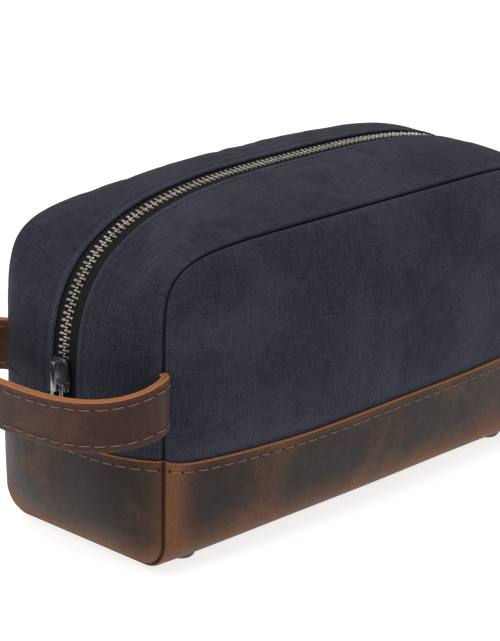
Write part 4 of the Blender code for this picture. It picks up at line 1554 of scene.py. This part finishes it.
class KIT_OT_lining(bpy.types.Operator):
    """Makes the cotton lining of both halves, both ends and the floor"""

    bl_idname = "kit.lining"
    bl_label = "Lining"

    def execute(self, context):
        finish = looks(lining_finish, context.scene.bag_cloth)
        halves = ("front_panel", "back_panel", "front_gusset", "back_gusset")
        for name in (*halves, "left_end", "right_end", "base"):
            self.soften(f"{name}_lining", finish)
        return {"FINISHED"}

    def soften(self, node, finish):
        """A finer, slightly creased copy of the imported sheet."""
        mesh = bmesh.new()
        mesh.from_mesh(frame["nodes"][node].data)
        bmesh.ops.remove_doubles(mesh, verts=mesh.verts, dist=0.01 * MM)
        bmesh.ops.join_triangles(mesh, faces=mesh.faces, angle_face_threshold=0.6, angle_shape_threshold=0.9)
        long_edges = [edge for edge in mesh.edges if edge.calc_length() > 4 * MM]
        bmesh.ops.subdivide_edges(mesh, edges=long_edges, cuts=3, use_grid_fill=True)
        mesh.normal_update()
        cloth = []
        for vert in mesh.verts:
            vert.co += vert.normal * noise.noise(vert.co / (16 * MM)) * 0.12 * MM
            cloth.append((vert.co.x + vert.co.y, vert.co.z + vert.co.y * 0.5, 0))
        data = bpy.data.meshes.new(node)
        mesh.to_mesh(data)
        mesh.free()
        store(data, {"cloth": np.array(cloth)})
        data.shade_smooth()
        data.set_sharp_from_angle(angle=math.radians(50))
        piece = finished(f"{node}_cloth", data, finish)
        for name, side, body in HALVES:
            if node == f"{name}_gusset_lining":
                bend_open(piece)
            elif node == f"{name}_panel_lining":
                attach(piece, body)
        if not node.startswith(("front_", "back_")):
            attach(piece, "root")
        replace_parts(piece, node)


class KIT_OT_hardware(bpy.types.Operator):
    """Finishes the stud feet, their plates and the stiffener board"""

    bl_idname = "kit.hardware"
    bl_label = "Feet and board"

    def execute(self, context):
        studs = looks(metal_finish, "foot_metal", (0.085, 0.08, 0.075), 0.32, 0.5)
        board = looks(board_finish)
        for name, node in frame["nodes"].items():
            if name.startswith("foot_"):
                node.data.materials.clear()
                node.data.materials.append(studs)
        frame["nodes"]["base_board"].data.materials.clear()
        frame["nodes"]["base_board"].data.materials.append(board)
        return {"FINISHED"}


class KIT_OT_stage(bpy.types.Operator):
    """Makes the floor, the soft studio lights and the camera"""

    bl_idname = "kit.stage"
    bl_label = "Stage"

    def execute(self, context):
        stage = context.scene.bag_stage
        mesh = bmesh.new()
        bmesh.ops.create_grid(mesh, x_segments=8, y_segments=8, size=6)
        floor = helper("floor", mesh)
        floor.data.materials.append(floor_finish())
        self.light("key", (-1.3, -0.3, 1.5), 1.3, stage.key)
        self.light("fill", (1.3, -1.3, 0.9), 1.4, stage.key * 0.02)
        self.light("top", (0.1, 0.2, 1.8), 1.6, stage.key * 1.05)
        world = bpy.data.worlds.new("studio")
        world.use_nodes = True
        world.node_tree.nodes["Background"].inputs["Color"].default_value = (1, 1, 1, 1)
        world.node_tree.nodes["Background"].inputs["Strength"].default_value = 0.53
        context.scene.world = world
        context.scene.view_settings.view_transform = "Standard"
        self.camera(context, stage)
        return {"FINISHED"}

    def light(self, name, place, size, power):
        data = bpy.data.lights.new(name, "AREA")
        data.shape = "DISK"
        data.size = size
        data.energy = power
        lamp = bpy.data.objects.new(name, data)
        lamp.location = place
        lamp.rotation_euler = (Vector((0, 0, 0.06)) - Vector(place)).to_track_quat("-Z", "Y").to_euler()
        bpy.context.scene.collection.objects.link(lamp)

    def camera(self, context, stage):
        data = bpy.data.cameras.new("camera")
        data.lens = stage.lens
        data.clip_start, data.clip_end = 0.05, 30
        camera = bpy.data.objects.new("camera", data)
        turn, up = math.radians(stage.azimuth), math.radians(stage.elevation)
        back = Vector((-math.sin(turn) * math.cos(up), -math.cos(turn) * math.cos(up), math.sin(up)))
        aim = Vector((CENTRE_X - 13.24 * MM, 10.89 * MM, 66.91 * MM))
        look = (-back).to_track_quat("-Z", "Y").to_matrix().to_4x4()
        lean = Matrix.Rotation(math.radians(stage.roll), 4, "Z")
        camera.matrix_world = Matrix.Translation(aim + back * stage.distance) @ look @ lean
        context.scene.collection.objects.link(camera)
        context.scene.camera = camera


class KIT_PT_panel(bpy.types.Panel):
    """Lists the bag's sizes, colours and pieces"""

    bl_idname = "KIT_PT_panel"
    bl_label = "Shaving kit bag"
    bl_space_type = "VIEW_3D"
    bl_region_type = "UI"
    bl_category = "Kit Bag"

    def draw(self, context):
        for operator in OPERATORS:
            self.layout.operator(operator.bl_idname)
        for name in GROUPS:
            group = getattr(context.scene, name)
            box = self.layout.box()
            for key in group.__annotations__:
                box.prop(group, key)


OPERATORS = (
    KIT_OT_canvas,
    KIT_OT_base,
    KIT_OT_zip,
    KIT_OT_slider,
    KIT_OT_strap,
    KIT_OT_stitches,
    KIT_OT_lining,
    KIT_OT_hardware,
    KIT_OT_stage,
)
GROUPS = {
    "bag_shape": BagShape,
    "bag_cloth": BagCloth,
    "bag_leather": BagLeather,
    "bag_zip": BagZip,
    "bag_stage": BagStage,
}


def register():
    for name, group in GROUPS.items():
        bpy.utils.register_class(group)
        setattr(bpy.types.Scene, name, PointerProperty(type=group))
    for operator in OPERATORS:
        bpy.utils.register_class(operator)
    bpy.utils.register_class(KIT_PT_panel)


def unregister():
    bpy.utils.unregister_class(KIT_PT_panel)
    for operator in reversed(OPERATORS):
        bpy.utils.unregister_class(operator)
    for name, group in GROUPS.items():
        delattr(bpy.types.Scene, name)
        bpy.utils.unregister_class(group)


def main():
    register()
    for operator in OPERATORS:
        group, name = operator.bl_idname.split(".")
        getattr(getattr(bpy.ops, group), name)()


if __name__ == "__main__":
    main()
